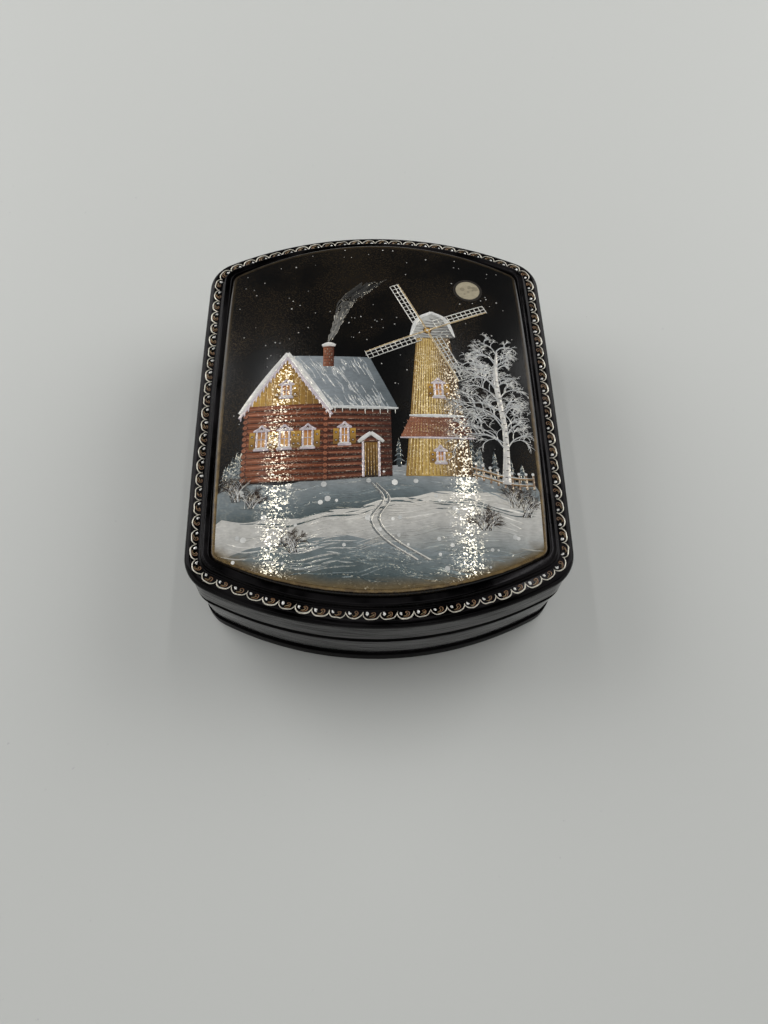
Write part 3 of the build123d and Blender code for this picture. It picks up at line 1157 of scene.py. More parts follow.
strokes = wire.node("GeometryNodeCollectionInfo", strokes)
choice = {"Min": 0, "Max": scroll["Versions"] - 1, "Seed": scroll["Seed"]}
choice = wire.node("FunctionNodeRandomValue", choice, data_type="INT")
growth = {"Min": 1 - scroll["Growth"], "Max": scroll["Growth"] + 1, "Seed": scroll["Seed"] + 2}
growth = wire.node("FunctionNodeRandomValue", growth, data_type="FLOAT")
laid = wire.node("GeometryNodeInstanceOnPoints", {
    "Points": line,
    "Instance": strokes,
    "Pick Instance": True,
    "Instance Index": choice,
    "Rotation": turned,
    "Scale": growth,
})
laid = wire.node("GeometryNodeRealizeInstances", {"Geometry": laid})
laid = wire.node("GeometryNodeSetMaterial", {"Geometry": laid, "Material": scroll["Paint"]})
wire.node("NodeGroupOutput", {0: laid})
print("scroll tree has", len(scroll_tree.nodes), "nodes")

# %% [markdown]
# ## Border paints
# The silver and bronze are metal powders stirred into lacquer. They glitter in grains rather than
# shine like sheet metal, and they thin out where the brush ran dry. The white is oil paint with a
# pinch of the same powder.

# %% Border paints
def powder_paint(name, bright, dull, share, roughness):
    """Metal powder in lacquer: grains that catch the light over a duller paint."""
    material, wire = new_material(name)
    mask, normal = flakes(wire, share, 0.16, 0.06)
    thin = spots(wire, 0.8, 3.0).step(0.35, 0.7)
    surface(wire, {
        "Base Color": (thin * (1 - mask * 0.8)).colours(bright, dull),
        "Metallic": mask * 0.75,
        "Roughness": roughness - mask * 0.12,
        "Normal": normal,
        "Coat Weight": 0.4,
        "Coat Roughness": 0.05,
    })
    return material


border_paints = {
    "arc": ("silver_paint", (0.74, 0.70, 0.59, 1.0), (0.42, 0.39, 0.32, 1.0), 0.45, 0.42),
    "drop": ("white_paint", (0.88, 0.87, 0.83, 1.0), (0.74, 0.73, 0.69, 1.0), 0.1, 0.35),
    "comma": ("bronze_paint", (0.23, 0.12, 0.053, 1.0), (0.11, 0.055, 0.026, 1.0), 0.4, 0.42),
    "outline": ("gilt_paint", (0.50, 0.38, 0.20, 1.0), (0.30, 0.22, 0.11, 1.0), 0.45, 0.42),
}
border_paints = {kind: powder_paint(*recipe) for kind, recipe in border_paints.items()}
print("border paints:", ", ".join(paint.name for paint in border_paints.values()))

# %% [markdown]
# ## Border on the rim
# The border runs along the middle of the flat band, so its line is the plan drawn in by a distance
# and lifted to the band. Each of the four strokes is laid by itself, since each has its own paint.

# %% Lay the border
SCROLL_COUNT = 92
SCROLL_INSET = 3.15
SCROLL_TURN = math.radians(4)
SCROLL_GROWTH = 0.05
SCROLL_SEED = 5
BAND_LIFT = 0.01
scroll_path = [(point.x, point.y, BAND_HEIGHT + BAND_LIFT) for point in plan(SCROLL_INSET)]
scroll_path = line_object("scroll_path", scroll_path, True)
border = []
for kind, paint in border_paints.items():
    group = scroll_versions(kind, SCROLL_SEED)
    values = {
        "Path": scroll_path,
        "Strokes": group,
        "Count": SCROLL_COUNT,
        "Versions": SCROLL_VERSIONS,
        "Turn": SCROLL_TURN,
        "Growth": SCROLL_GROWTH,
        "Seed": SCROLL_SEED,
        "Paint": paint,
    }
    border.append(smooth(grown(f"border_{kind}s", scroll_tree, values), 60))
    take_out(*group.objects)
    bpy.data.collections.remove(group)
    print(border[-1].name, "faces:", len(border[-1].data.polygons))
take_out(scroll_path)

# %% [markdown]
# ## Paint that follows the crown
# The picture could be an image wrapped on the board. Real lacquer painting has body: the strokes
# stand up under the varnish and catch the light at their edges. So the picture is built as paint.
# A patch is a thin closed sheet with any outline, a stroke is the ridge from above, and both are
# laid on the crown of the board. Every corner keeps its own colour, so washes can be graded.

# %% Paint
PAINT_GRID = 2.5
PAINT_THICKNESS = 0.10
PICTURE_INSET = 8.3
DOT_CORNERS = 7
painted = []


def in_picture(x, y):
    """Whether a place lies on the painted part of the board."""
    ends = [math.dist((x, y), (0, sign * end_centre.y)) < end_radius - PICTURE_INSET for sign in (-1, 1)]
    sides = [math.dist((x, y), (sign * side_centre.x, 0)) < side_radius - PICTURE_INSET for sign in (-1, 1)]
    return all(ends + sides)


def circle(x, y, radius, corners):
    """The outline of a round patch."""
    turns = [2 * math.pi * number / corners for number in range(corners)]
    return [(x + radius * math.cos(turn), y + radius * math.sin(turn)) for turn in turns]


class Paint:
    """Paint of one part of the picture: patches and strokes, each corner with its colour.

    The colour's fourth value says how much metal powder was dusted on this part."""

    def __init__(self, name, powder=1.0):
        self.name = name
        self.powder = powder
        self.places = []
        self.faces = []
        self.tints = []

    def corner(self, x, y, height, tint):
        """Adds one corner at a height over the crown and gives its number."""
        self.places.append((x, y, crown(x, y) + height))
        self.tints.append(tint(x, y) if callable(tint) else tint)
        return len(self.places) - 1

    def patch(self, outline, tint, lift):
        """A thin closed sheet with an outline, cut fine enough to follow the crown."""
        sheet = bmesh.new()
        sheet.faces.new([sheet.verts.new((x, y, 0)) for x, y in outline])
        for axis in (Vector((1, 0, 0)), Vector((0, 1, 0))):
            reach = [axis.dot((x, y, 0)) for x, y in outline]
            cut = math.ceil(min(reach) / PAINT_GRID) * PAINT_GRID
            while cut < max(reach):
                parts = sheet.verts[:] + sheet.edges[:] + sheet.faces[:]
                bmesh.ops.bisect_plane(sheet, geom=parts, dist=1e-5, plane_co=axis * cut, plane_no=axis)
                cut += PAINT_GRID
        sheet.normal_update()
        if sheet.faces[:][0].normal.z < 0:
            bmesh.ops.reverse_faces(sheet, faces=sheet.faces)
        over, under = (
            {vert: self.corner(vert.co.x, vert.co.y, height, tint) for vert in sheet.verts}
            for height in (lift, lift - PAINT_THICKNESS)
        )
        for face in sheet.faces:
            self.faces.append([over[vert] for vert in face.verts])
            self.faces.append([under[vert] for vert in reversed(face.verts)])
        for edge in sheet.edges:
            if edge.is_boundary:
                first = edge.link_loops[0].vert
                second = edge.link_loops[0].link_loop_next.vert
                self.faces.append([under[first], under[second], over[second], over[first]])
        sheet.free()

    def stroke(self, line, widths, tint, lift, rise=0.05, steps=3):
        """A ridge of paint along a smooth line. Strokes that would leave the picture aren't made."""
        line = smooth_line(line, steps)
        if not all(in_picture(place.x, place.y) for place in line):
            return
        rings, faces = ridge(line, swelling(len(line), *widths), rise)
        first = len(self.places)
        for x, y, height in rings:
            self.corner(x, y, lift + height, tint)
        self.faces += [[first + number for number in face] for face in faces]

    def dot(self, x, y, radius, tint, lift):
        """A round touch of the brush."""
        if in_picture(x, y):
            self.patch(circle(x, y, radius, DOT_CORNERS), tint, lift)

    def finish(self):
        """Makes the painted object, with its colours as an attribute."""
        mesh = new_mesh(self.name, self.places, self.faces)
        colours = mesh.color_attributes.new("paint", "FLOAT_COLOR", "POINT")
        colours.data.foreach_set("color", [value for tint in self.tints for value in (*tint, self.powder)])
        mesh.materials.append(picture_paint)
        painted.append(smooth(new_object(self.name, mesh), 60))
        print(self.name, "faces:", len(self.faces))


print("the picture is painted inside", PICTURE_INSET, "mm from the widest edge")

# %% [markdown]
# ## Picture paint
# All of the picture shares one material, which reads the colour laid at each corner. Over it lie
# fine brush marks and thinner, darker places. Metal powder was dusted on the wet varnish and
# glitters where a lamp is mirrored. It has a shader of its own, mixed in by a small share, and the
# paint under a flake is brightened by as much as the flake takes away.

# %% Picture paint
FLAKE_COLOUR = (0.95, 0.87, 0.68, 1.0)
FLAKE_STRENGTH = 0.22
FLAKE_SHARE = 0.34
picture_paint, wire = new_material("picture_paint")
laid = wire.node("ShaderNodeAttribute", output="Color", attribute_name="paint")
powder = wire.node("ShaderNodeAttribute", output="Alpha", attribute_name="paint")
bristles = spots(wire, 0.35, 4.0, (0.25, 1.0, 1.0))
thin = spots(wire, 2.4, 5.0)
laid = laid.vector("SCALE", {"Scale": bristles * 0.55 + thin * 0.6 + 0.42})
mask, tipped = flakes(wire, powder * FLAKE_SHARE)
brighter = laid.vector("SCALE", {"Scale": 1 / (1 - FLAKE_STRENGTH)})
paint = {
    "Base Color": mask.colours(laid, brighter),
    "Roughness": 0.4,
    "Specular IOR Level": 0.2,
    "Coat Weight": 0.06,
    "Coat Roughness": 0.04,
}
flake = {"Base Color": FLAKE_COLOUR, "Metallic": 1.0, "Roughness": 0.09, "Normal": tipped}
surface(wire, paint, flake, mask * FLAKE_STRENGTH)
print("picture paint reads the corner colours")

# %% [markdown]
# ## Sky
# The sky is the bare black ground. A moon, a few stars and falling snow are dotted on it, and
# chimney smoke will cross it later.

# %% Sky
WHITE = (0.62, 0.61, 0.57)
MOON = (27.5, 38.5)
MOON_CORNERS = 40
MOON_SPOTS = 9
STARS = 150


def mixed(first, second, share):
    """A colour between two, with the share held between 0 and 1."""
    share = min(max(share, 0), 1)
    return tuple(a + (b - a) * share for a, b in zip(first, second))


hand = random.Random(11)
sky_paint = Paint("painted_sky", 0.0)
for radius, tint, lift in ((4.4, (0.016, 0.013, 0.010), 0.02), (3.6, (0.34, 0.30, 0.21), 0.03)):
    sky_paint.patch(circle(*MOON, radius, MOON_CORNERS), tint, lift)
for number in range(MOON_SPOTS):
    turn = hand.uniform(0, 2 * math.pi)
    reach = hand.uniform(0.4, 2.6)
    x, y = MOON[0] + reach * math.cos(turn), MOON[1] + reach * math.sin(turn)
    sky_paint.dot(x, y, hand.uniform(0.3, 0.8), (0.24, 0.21, 0.145), 0.04)
for number in range(STARS):
    x, y = hand.uniform(-41, 41), hand.uniform(-20, 55)
    faint = hand.uniform(0.25, 1.0)
    sky_paint.dot(x, y, hand.uniform(0.09, 0.24), mixed((0.05, 0.05, 0.05), WHITE, faint), 0.03)
sky_paint.finish()

# %% [markdown]
# ## Snow
# Snow fills the foot of the picture: a far ridge, a near hill and a drift in front. Each is a wash
# from warm white in the light to slate and deep teal in the hollows, and fades to ochre where the
# painter let the ground show at the edge. Long strokes follow the slope of each hill, and a sledge
# has left a pair of tracks.

# %% Hills
OCHRE_EDGE = (0.115, 0.082, 0.036)
EDGE_STEPS = 60


def far_ridge(x):
    """Height of the ridge that the house stands on."""
    return -25.0 + 2.2 * math.sin((x + 12) / 13) + 0.5 * math.sin(x / 3.1)


def near_hill(x):
    """Height of the hill in the middle."""
    return -33.5 + 3.6 * math.sin((x + 4) / 17) + 0.4 * math.sin(x / 2.3 + 1)


def front_drift(x):
    """Height of the drift in front."""
    return -44.5 - 2.6 * math.sin((x - 6) / 12) + 0.3 * math.sin(x / 1.9)


def front_edge(x):
    """Where the painted part of the board ends at the front."""
    return end_centre.y - math.sqrt((end_radius - PICTURE_INSET)**2 - x**2)


def snow_tint(crest, reach, light, middle, deep):
    """Snow that darkens with the distance below its crest and fades to ochre at the front edge."""

    def tint(x, y):
        depth = (crest(x) - y) / reach
        glow = 0.5 + 0.5 * math.cos((x - 8) / 15)
        colour = mixed(middle, light, 0.25 + 0.75 * glow)
        colour = mixed(colour, middle, depth * 2) if depth < 0.5 else mixed(middle, deep, depth * 2 - 1)
        return mixed(OCHRE_EDGE, colour, (y - front_edge(x) - 0.6) / 2.0)

    return tint


def below(edge):
    """The outline of all of the picture that lies below an edge given as a height for each place."""
    border = [tuple(point) for point in plan(PICTURE_INSET)]
    border = border[len(border) // 2:] + border[:len(border) // 2]
    under = [(x, y) for x, y in border if y < edge(x)]
    left, right = under[0][0], under[-1][0]
    over = [right + (left - right) * step / EDGE_STEPS for step in range(1, EDGE_STEPS)]
    return under + [(x, edge(x)) for x in over]


def moved(line, x, y):
    """A line moved to the side and up."""
    return [Vector(place) + Vector((x, y)) for place in line]


print("the ridge lies at", round(far_ridge(0), 1), "mm in the middle of the picture")

# %% [markdown]
# Each hill is one graded patch with its strokes over it. The far hill comes first, so that each
# nearer one covers the foot of the one behind.

# %% Snow
SNOW_WARM = (0.60, 0.58, 0.53)
SNOW_COOL = (0.23, 0.26, 0.27)
SNOW_DEEP = (0.052, 0.074, 0.078)
FLAKES_FAR, FLAKES_NEAR = (0.45, 0.46, 0.45), (0.78, 0.77, 0.73)
TRACK = ((-1.6, -27.4), (1.6, -32.0), (-1.4, -37.5), (2.2, -43.0), (10.5, -48.5))
BRIGHTEST = 0.72
SNOWFLAKES = 46
snow_paint = Paint("painted_snow")
hills = (
    (far_ridge, 11, (0.30, 0.31, 0.31), (0.16, 0.19, 0.20), SNOW_DEEP, 0.03, 70),
    (near_hill, 17, SNOW_WARM, (0.44, 0.435, 0.41), (0.15, 0.18, 0.185), 0.05, 150),
    (front_drift, 10, SNOW_COOL, (0.12, 0.15, 0.155), SNOW_DEEP, 0.07, 110),
)
for crest, reach, light, middle, deep, lift, strokes in hills:
    tint = snow_tint(crest, reach, light, middle, deep)
    snow_paint.patch(below(crest), tint, lift)
    for number in range(strokes):
        start, drop = hand.uniform(-41, 36), hand.uniform(0.2, reach * 1.1)
        length = hand.uniform(3, 13)
        fall = hand.uniform(-0.9, 0.6)
        places = [(start + length * share, share) for share in (0, 0.33, 0.66, 1)]
        line = [Vector((x, crest(x) - drop + fall * share)) for x, share in places]
        bright = hand.uniform(0.82, 1.32)
        own = tint(start + length / 2, line[1].y)
        colour = tuple(min(value * bright, BRIGHTEST) for value in own)
        snow_paint.stroke(line, (0.05, hand.uniform(0.14, 0.42), 0.04), colour, lift + 0.01, 0.03)
for number in range(SNOWFLAKES):
    x, y = hand.uniform(-38, 38), hand.uniform(-52, -24)
    snow_paint.dot(x, y, hand.uniform(0.3, 0.85), mixed(FLAKES_FAR, FLAKES_NEAR, hand.random()), 0.11)
for side in (-1, 1):
    runner = [(x + side * (0.5 + 0.05 * (-27 - y)), y) for x, y in TRACK]
    snow_paint.stroke(runner, (0.12, 0.26, 0.34), (0.15, 0.16, 0.16), 0.10, 0.02, 8)
    snow_paint.stroke(moved(runner, 0.42, 0), (0.05, 0.15, 0.2), SNOW_WARM, 0.11, 0.04, 8)
snow_paint.finish()

# %% [markdown]
# ## Log house
# A log house stands on the ridge: courses of round logs with their ends showing at the corner, a
# boarded gable with fretwork, carved window frames, a roof under snow and a smoking chimney. The
# logs are washed patches with a light stroke on top of each and a dark joint below it.

# %% Log walls
TERRACOTTA = (0.19, 0.054, 0.020)
TERRACOTTA_DEEP = (0.068, 0.018, 0.009)
TERRACOTTA_SHADE = (0.05, 0.016, 0.01)
BRICK_PINK = (0.28, 0.105, 0.055)
DARK = (0.018, 0.012, 0.009)
HOUSE_LEFT, HOUSE_CORNER, HOUSE_RIGHT = -36.0, -14.0, 3.5
HOUSE_FOOT, EAVES = -26.5, -3.0
LOG_HEIGHT, LOG_ENDS = 1.75, 13
house = Paint("painted_house")


def washed(first, second, start, end):
    """A wash that runs from one colour to another along the line between two places."""
    way = Vector(end) - Vector(start)
    return lambda x, y: mixed(first, second, way.dot(Vector((x, y)) - Vector(start)) / way.length_squared)


def lines_between(first, second, count):
    """Pairs of places, shared out evenly along two lines."""
    shares = [(number + 0.5) / count for number in range(count)]
    return [(Vector(first[0]).lerp(first[1], at), Vector(second[0]).lerp(second[1], at)) for at in shares]


def wobbled(start, end, slip):
    """A hand-drawn line between two places."""
    middle = (Vector(start) + Vector(end)) / 2 + Vector((hand.gauss(0, slip), hand.gauss(0, slip)))
    return [start, middle, end]


def logs(left, right, foot, top, drop, light, deep):
    """A wall of logs, whose foot rises and whose top sinks by drop towards its right end."""
    near, far = ((left, foot), (left, top)), ((right, foot + drop), (right, top - drop))
    house.patch([near[0], far[0], far[1], near[1]], washed(light, deep, near[0], (right, foot)), 0.09)
    for start, end in lines_between(near, far, round((top - foot) / LOG_HEIGHT)):
        joint = Vector((0, 0.75))
        bright = hand.uniform(0.8, 1.4)
        tint = washed(tuple(value * bright for value in BRICK_PINK), light, near[0], (right, foot))
        house.stroke(wobbled(start, end, 0.1), (0.25, 0.42, 0.25), tint, 0.10, 0.04)
        house.stroke(wobbled(start - joint, end - joint, 0.08), (0.12, 0.16, 0.12), DARK, 0.10, 0.03)


logs(HOUSE_LEFT, HOUSE_CORNER, HOUSE_FOOT, EAVES, 0, TERRACOTTA, TERRACOTTA_DEEP)
logs(HOUSE_CORNER, HOUSE_RIGHT, HOUSE_FOOT, EAVES, 1.0, TERRACOTTA_DEEP, TERRACOTTA_SHADE)
for corner_x in (HOUSE_LEFT + 0.3, HOUSE_CORNER):
    for number in range(LOG_ENDS):
        y = HOUSE_FOOT + 0.9 + number * 1.76
        house.dot(corner_x, y, 0.85, TERRACOTTA_DEEP, 0.13)
        house.dot(corner_x - 0.1, y + 0.1, 0.6, BRICK_PINK, 0.14)
        house.dot(corner_x - 0.1, y + 0.1, 0.22, TERRACOTTA, 0.15)
print("log walls:", len(house.faces), "faces")

# %% [markdown]
# The gable is boarded upright. Each joint is a dark line with a lit edge beside it.

# %% Gable
GOLD_BRIGHT = (0.66, 0.47, 0.17)
GOLD = (0.44, 0.25, 0.045)
GOLD_DEEP = (0.16, 0.082, 0.018)
GABLE_TOP, GABLE_BOARDS = 13.5, 12
gable_middle = (HOUSE_LEFT + HOUSE_CORNER) / 2
gable = [(HOUSE_LEFT, EAVES), (HOUSE_CORNER, EAVES), (gable_middle, GABLE_TOP)]
house.patch(gable, washed(GOLD, GOLD_DEEP, (HOUSE_LEFT + 4, EAVES), (HOUSE_CORNER, EAVES)), 0.09)
edge_tint = washed(GOLD_BRIGHT, GOLD, (HOUSE_LEFT, EAVES), (HOUSE_CORNER, EAVES))
for number in range(1, GABLE_BOARDS):
    x = HOUSE_LEFT + (HOUSE_CORNER - HOUSE_LEFT) * number / GABLE_BOARDS
    top = EAVES + (GABLE_TOP - EAVES) * (1 - abs(x - gable_middle) / (gable_middle - HOUSE_LEFT))
    for shift, widths, tint in ((0, (0.07, 0.09, 0.05), GOLD_DEEP), (0.3, (0.04, 0.08, 0.04), edge_tint)):
        board_edge = wobbled((x + shift, EAVES), (x + shift, top), 0.05)
        house.stroke(board_edge, widths, tint, 0.10, 0.03)
print("gable boards:", GABLE_BOARDS)

# %% [markdown]
# The roof is a sheet of old snow, brushed downwards. Carved barge boards with a fretted edge close
# the gable, fresh snow lies thick on them, and icicles hang from the eaves.

# %% Roof
LILAC = (0.50, 0.44, 0.47)
SILVER = (0.46, 0.46, 0.43)
SNOW_CAP = (0.62, 0.61, 0.58)
ROOF_STROKES, FRETS, ICICLES = 110, 13, 9
roof = [Vector(place) for place in (
    (gable_middle, GABLE_TOP),
    (HOUSE_CORNER + 1.2, EAVES - 1.2),
    (HOUSE_RIGHT + 2.0, EAVES - 2.0),
    (HOUSE_RIGHT - 5.5, GABLE_TOP - 1.4),
)]
roof_tint = washed((0.30, 0.33, 0.35), (0.10, 0.12, 0.13), (gable_middle, EAVES), (HOUSE_RIGHT, EAVES))
house.patch(roof, roof_tint, 0.17)
for number in range(ROOF_STROKES):
    across = hand.uniform(0.02, 0.9)
    down = hand.choice((hand.uniform(0.02, 0.92), hand.uniform(0.0, 0.25), hand.uniform(0.75, 0.92)))
    top, foot = roof[0].lerp(roof[3], across), roof[1].lerp(roof[2], across)
    start, end = top.lerp(foot, down), top.lerp(foot, min(down + hand.uniform(0.08, 0.3), 0.99))
    tint = mixed((0.20, 0.23, 0.25), (0.60, 0.60, 0.58), hand.random() * (1 - across * 0.6))
    house.stroke(wobbled(start, end, 0.3), (0.06, hand.uniform(0.12, 0.34), 0.05), tint, 0.18, 0.02)
for foot_x in (HOUSE_LEFT - 1.6, HOUSE_CORNER + 1.6):
    barge = Vector((gable_middle, GABLE_TOP + 0.9)), Vector((foot_x, EAVES - 2.2))
    inner = moved(barge, 0, -1.5)
    house.stroke(wobbled(*inner, 0.1), (0.4, 0.45, 0.4), LILAC, 0.19, 0.06, 8)
    house.stroke(wobbled(*barge, 0.15), (0.6, 0.75, 0.5), SNOW_CAP, 0.20, 0.12, 8)
    for start, end in lines_between(inner, moved(inner, 0, -1.7), FRETS):
        house.stroke([start, (start + end) / 2, end], (0.34, 0.2, 0.04), LILAC, 0.19, 0.05)
eaves_line = [roof[1].lerp(roof[2], share) for share in (0, 0.3, 0.65, 1)]
house.stroke(eaves_line, (0.35, 0.5, 0.3), (0.52, 0.53, 0.52), 0.20, 0.08, 6)
for number in range(ICICLES):
    top = roof[1].lerp(roof[2], (number + 0.6) / ICICLES)
    end = top - Vector((0, hand.uniform(0.8, 2.2)))
    house.stroke([top, (top + end) / 2, end], (0.16, 0.12, 0.03), SILVER, 0.20, 0.05)
print("house so far:", len(house.faces), "faces")

# %% [markdown]
# The windows come next. A carved frame is a sill, two side boards, a peaked head
# with a row of dots, and shutters in ochre. The panes glow, brightest in the middle.

# %% Windows
PANE_BRIGHT, PANE_DIM = (0.85, 0.52, 0.16), (0.30, 0.10, 0.03)
HOUSE_WINDOWS = (
    (HOUSE_LEFT + 4.8, -14.0, 2.5, 5.2),
    (gable_middle, -14.0, 2.5, 5.2),
    (HOUSE_CORNER - 4.8, -14.0, 2.5, 5.2),
    (gable_middle, 1.4, 2.4, 3.8),
    (HOUSE_CORNER + 5.0, -13.5, 2.0, 4.8),
)


def span(x, y, reach, sag=0.0):
    """A level line about its middle, which lies higher by sag."""
    return [(x - reach, y), (x, y + sag), (x + reach, y)]


def upright(x, *heights):
    """An upright line through some heights."""
    return [(x, y) for y in heights]


def window(paint, x, y, width, height, lift):
    """A window with carved frame, shutters, bars and a glowing pane, about its middle."""
    half, tall = width / 2, height / 2
    foot, top = y - tall, y + tall

    def glow(pane_x, pane_y):
        return mixed(PANE_BRIGHT, PANE_DIM, math.dist((pane_x, pane_y), (x, y)) / tall)

    paint.patch(box(x - half, x + half, foot, top), glow, lift)
    for sign in (-1, 1):
        near, middle, far = (x + sign * (half + reach) for reach in (0.5, 1.25, 2.0))
        paint.patch(box(near, far, foot, top), washed(GOLD, GOLD_DEEP, (x, top), (x, foot)), lift)
        for share in (-0.5, 0.5):
            paint.dot(middle, y + tall * share, 0.4, TERRACOTTA_DEEP, lift + 0.01)
            paint.dot(middle, y + tall * share, 0.18, WHITE, lift + 0.02)
        side = upright(x + sign * half, foot - 0.3, y, top + 0.3)
        paint.stroke(side, (0.25, 0.3, 0.25), LILAC, lift + 0.02, 0.05)
        peak = [(x + sign * (half + 0.9), top + 0.4), (x + sign * half * 0.6, top + 1.1), (x, top + 2.1)]
        paint.stroke(peak, (0.2, 0.32, 0.2), LILAC, lift + 0.03, 0.06)
    for height, reach, weight in (
        (foot - 0.2, half + 0.8, 0.36),
        (top + 0.3, half + 1.0, 0.3),
        (y + 0.3, half, 0.12),
    ):
        bar = span(x, height, reach, 0.05)
        paint.stroke(bar, (weight * 0.8, weight, weight * 0.8), LILAC, lift + 0.03, 0.06)
    paint.stroke(upright(x, foot, y, top), (0.1, 0.12, 0.1), LILAC, lift + 0.03, 0.05)
    paint.stroke(span(x, foot + 0.2, half + 0.6, 0.15), (0.12, 0.26, 0.12), WHITE, lift + 0.05, 0.08)
    for number in range(-2, 3):
        paint.dot(x + number * half * 0.4, top + 0.75, 0.16, WHITE, lift + 0.06)


for place_and_size in HOUSE_WINDOWS:
    window(house, *place_and_size, 0.17)
print("windows of the house:", len(HOUSE_WINDOWS))

# %% [markdown]
# The door is a leaf of planks between two carved posts, under a small snowy roof of its own.

# %% Door
DOOR_X, DOOR_TOP, PLANKS = HOUSE_CORNER + 12.0, -15.5, 5
door = box(DOOR_X - 1.9, DOOR_X + 1.9, HOUSE_FOOT + 0.8, DOOR_TOP)
door[1] = (DOOR_X + 1.9, HOUSE_FOOT + 1.0)
house.patch(door, washed(GOLD_DEEP, DARK, (DOOR_X, DOOR_TOP), (DOOR_X, HOUSE_FOOT)), 0.17)
for sign in (-1, 1):
    post = upright(DOOR_X + sign * 2.1, HOUSE_FOOT + 0.8, -21, -15.3)
    house.stroke(post, (0.3, 0.32, 0.3), LILAC, 0.18, 0.06)
    pitch = [(DOOR_X, -12.6), (DOOR_X + sign * 1.6, -13.9), (DOOR_X + sign * 3.4, -15.4)]
    house.stroke(pitch, (0.5, 0.6, 0.4), (0.6, 0.6, 0.57), 0.20, 0.1)
for number in range(PLANKS):
    plank = upright(DOOR_X - 1.5 + number * 0.75, HOUSE_FOOT + 1.2, -21, -15.8)
    house.stroke(plank, (0.05, 0.07, 0.05), GOLD, 0.18, 0.02)
print("planks of the door:", PLANKS)

# %% [markdown]
# The chimney is of brick, with two upright joints to each course and a cap of snow. Its smoke is a
# plume of fine pale strokes that bend with the wind and fade as they rise.

# %% Chimney and smoke
CHIMNEY, BRICK_ROWS = Vector((-13.5, 12.4)), 7
SMOKE_RISE, SMOKE_STRANDS = 24.0, 54
stack = box(CHIMNEY.x - 1.5, CHIMNEY.x + 1.5, CHIMNEY.y - 3, CHIMNEY.y + 4)
stack[1] = (CHIMNEY.x + 1.5, CHIMNEY.y - 3.2)
house.patch(stack, washed(BRICK_PINK, TERRACOTTA_DEEP, (CHIMNEY.x - 1.5, 0), (CHIMNEY.x + 1.5, 0)), 0.21)
for row in range(BRICK_ROWS):
    y = CHIMNEY.y - 2.4 + row
    house.stroke(span(CHIMNEY.x, y, 1.4), (0.05, 0.06, 0.05), DARK, 0.22, 0.02)
    for number in range(2):
        x = CHIMNEY.x - 0.7 + number * 1.3 + (row % 2) * 0.6 - 0.3
        house.stroke(upright(x, y, y + 0.5, y + 1), (0.04, 0.05, 0.04), DARK, 0.22, 0.02)
house.stroke(span(CHIMNEY.x, CHIMNEY.y + 4.2, 1.9, 0.5), (0.4, 0.75, 0.4), SNOW_CAP, 0.22, 0.14)


def smoke_place(rise, aside):
    """A place in the plume, from how far it has risen and how far it is off the middle."""
    bend = 0.10 * rise + 0.019 * rise**2 + 0.9 * math.sin(rise / 3.4)
    return CHIMNEY + Vector((bend + aside * (0.5 + 0.13 * rise), 5.4 + rise))


for number in range(SMOKE_STRANDS):
    low, aside = SMOKE_RISE * 0.82 * number / SMOKE_STRANDS, hand.uniform(-1, 1)
    length = hand.uniform(2.5, 6.0)
    strand = [smoke_place(low + length * share, aside + hand.gauss(0, 0.16)) for share in (0, 0.35, 0.7, 1)]
    tint = mixed((0.20, 0.195, 0.18), (0.008, 0.008, 0.008), 1.1 * low / SMOKE_RISE + hand.uniform(0, 0.4))
    house.stroke(strand, (0.06, hand.uniform(0.16, 0.34 + low * 0.02), 0.05), tint, 0.05, 0.02, 5)
house.finish()

# %% [markdown]
# ## Windmill
# A tower mill of upright boards stands beside the house, ochre in the light and brown in shade,
# with a skirt of shingles, a silvered cap and four lattice sails. Places on it are given as shares
# of its width, because the tower narrows towards the top.

# %% Mill tower
MILL_X, MILL_FOOT, MILL_TOP = 16.0, -25.5, 20.0
FOOT_HALF, TOP_HALF = 9.0, 4.6
SKIRT_FOOT, SKIRT_TOP = -14.0, -7.5
SHINGLE_ROWS, SHINGLES = 6, 20
mill = Paint("painted_windmill")


def mill_half(y):
    """Half the mill's width at a height."""
    return FOOT_HALF + (TOP_HALF - FOOT_HALF) * (y - MILL_FOOT) / (MILL_TOP - MILL_FOOT)


def on_mill(share, y, overhang=0.0, rise=0.0):
    """A place at a share of the mill's width and a height, or out from it and up from it."""
    return MILL_X + share * (mill_half(y) + overhang), y + rise


def mill_tint(x, y):
    """Ochre that turns from lit to shaded round the tower."""
    share = (x - MILL_X) / mill_half(y)
    lit = mixed(GOLD_DEEP, (0.52, 0.34, 0.085), 1 - abs(share + 0.35) * 1.1)
    return mixed(lit, (0.05, 0.026, 0.012), (share - 0.15) * 0.95)


corners = ((-1, MILL_FOOT), (1, MILL_FOOT), (1, MILL_TOP), (-1, MILL_TOP))
mill.patch([on_mill(*corner) for corner in corners], mill_tint, 0.11)
for number in range(-9, 10):
    share = number / 9.5
    seam_line = [on_mill(share, y) for y in (MILL_FOOT + 0.3, -4, MILL_TOP - 0.3)]
    mill.stroke(seam_line, (0.07, 0.1, 0.06), mixed(GOLD_DEEP, DARK, 0.5 + share / 2), 0.12, 0.03)
    lit_tint = mixed((0.72, 0.55, 0.22), GOLD_DEEP, 0.35 + share)
    lit_widths = (0.05, hand.uniform(0.06, 0.16), 0.05)
    mill.stroke(moved(seam_line, 0.32, 0), lit_widths, lit_tint, 0.12, 0.03)
corners = ((-1, SKIRT_TOP), (-1, SKIRT_FOOT, 2.2), (1, SKIRT_FOOT, 2.2), (1, SKIRT_TOP))
skirt_tint = washed(BRICK_PINK, TERRACOTTA_DEEP, (MILL_X - 9, 0), (MILL_X + 9, 0))
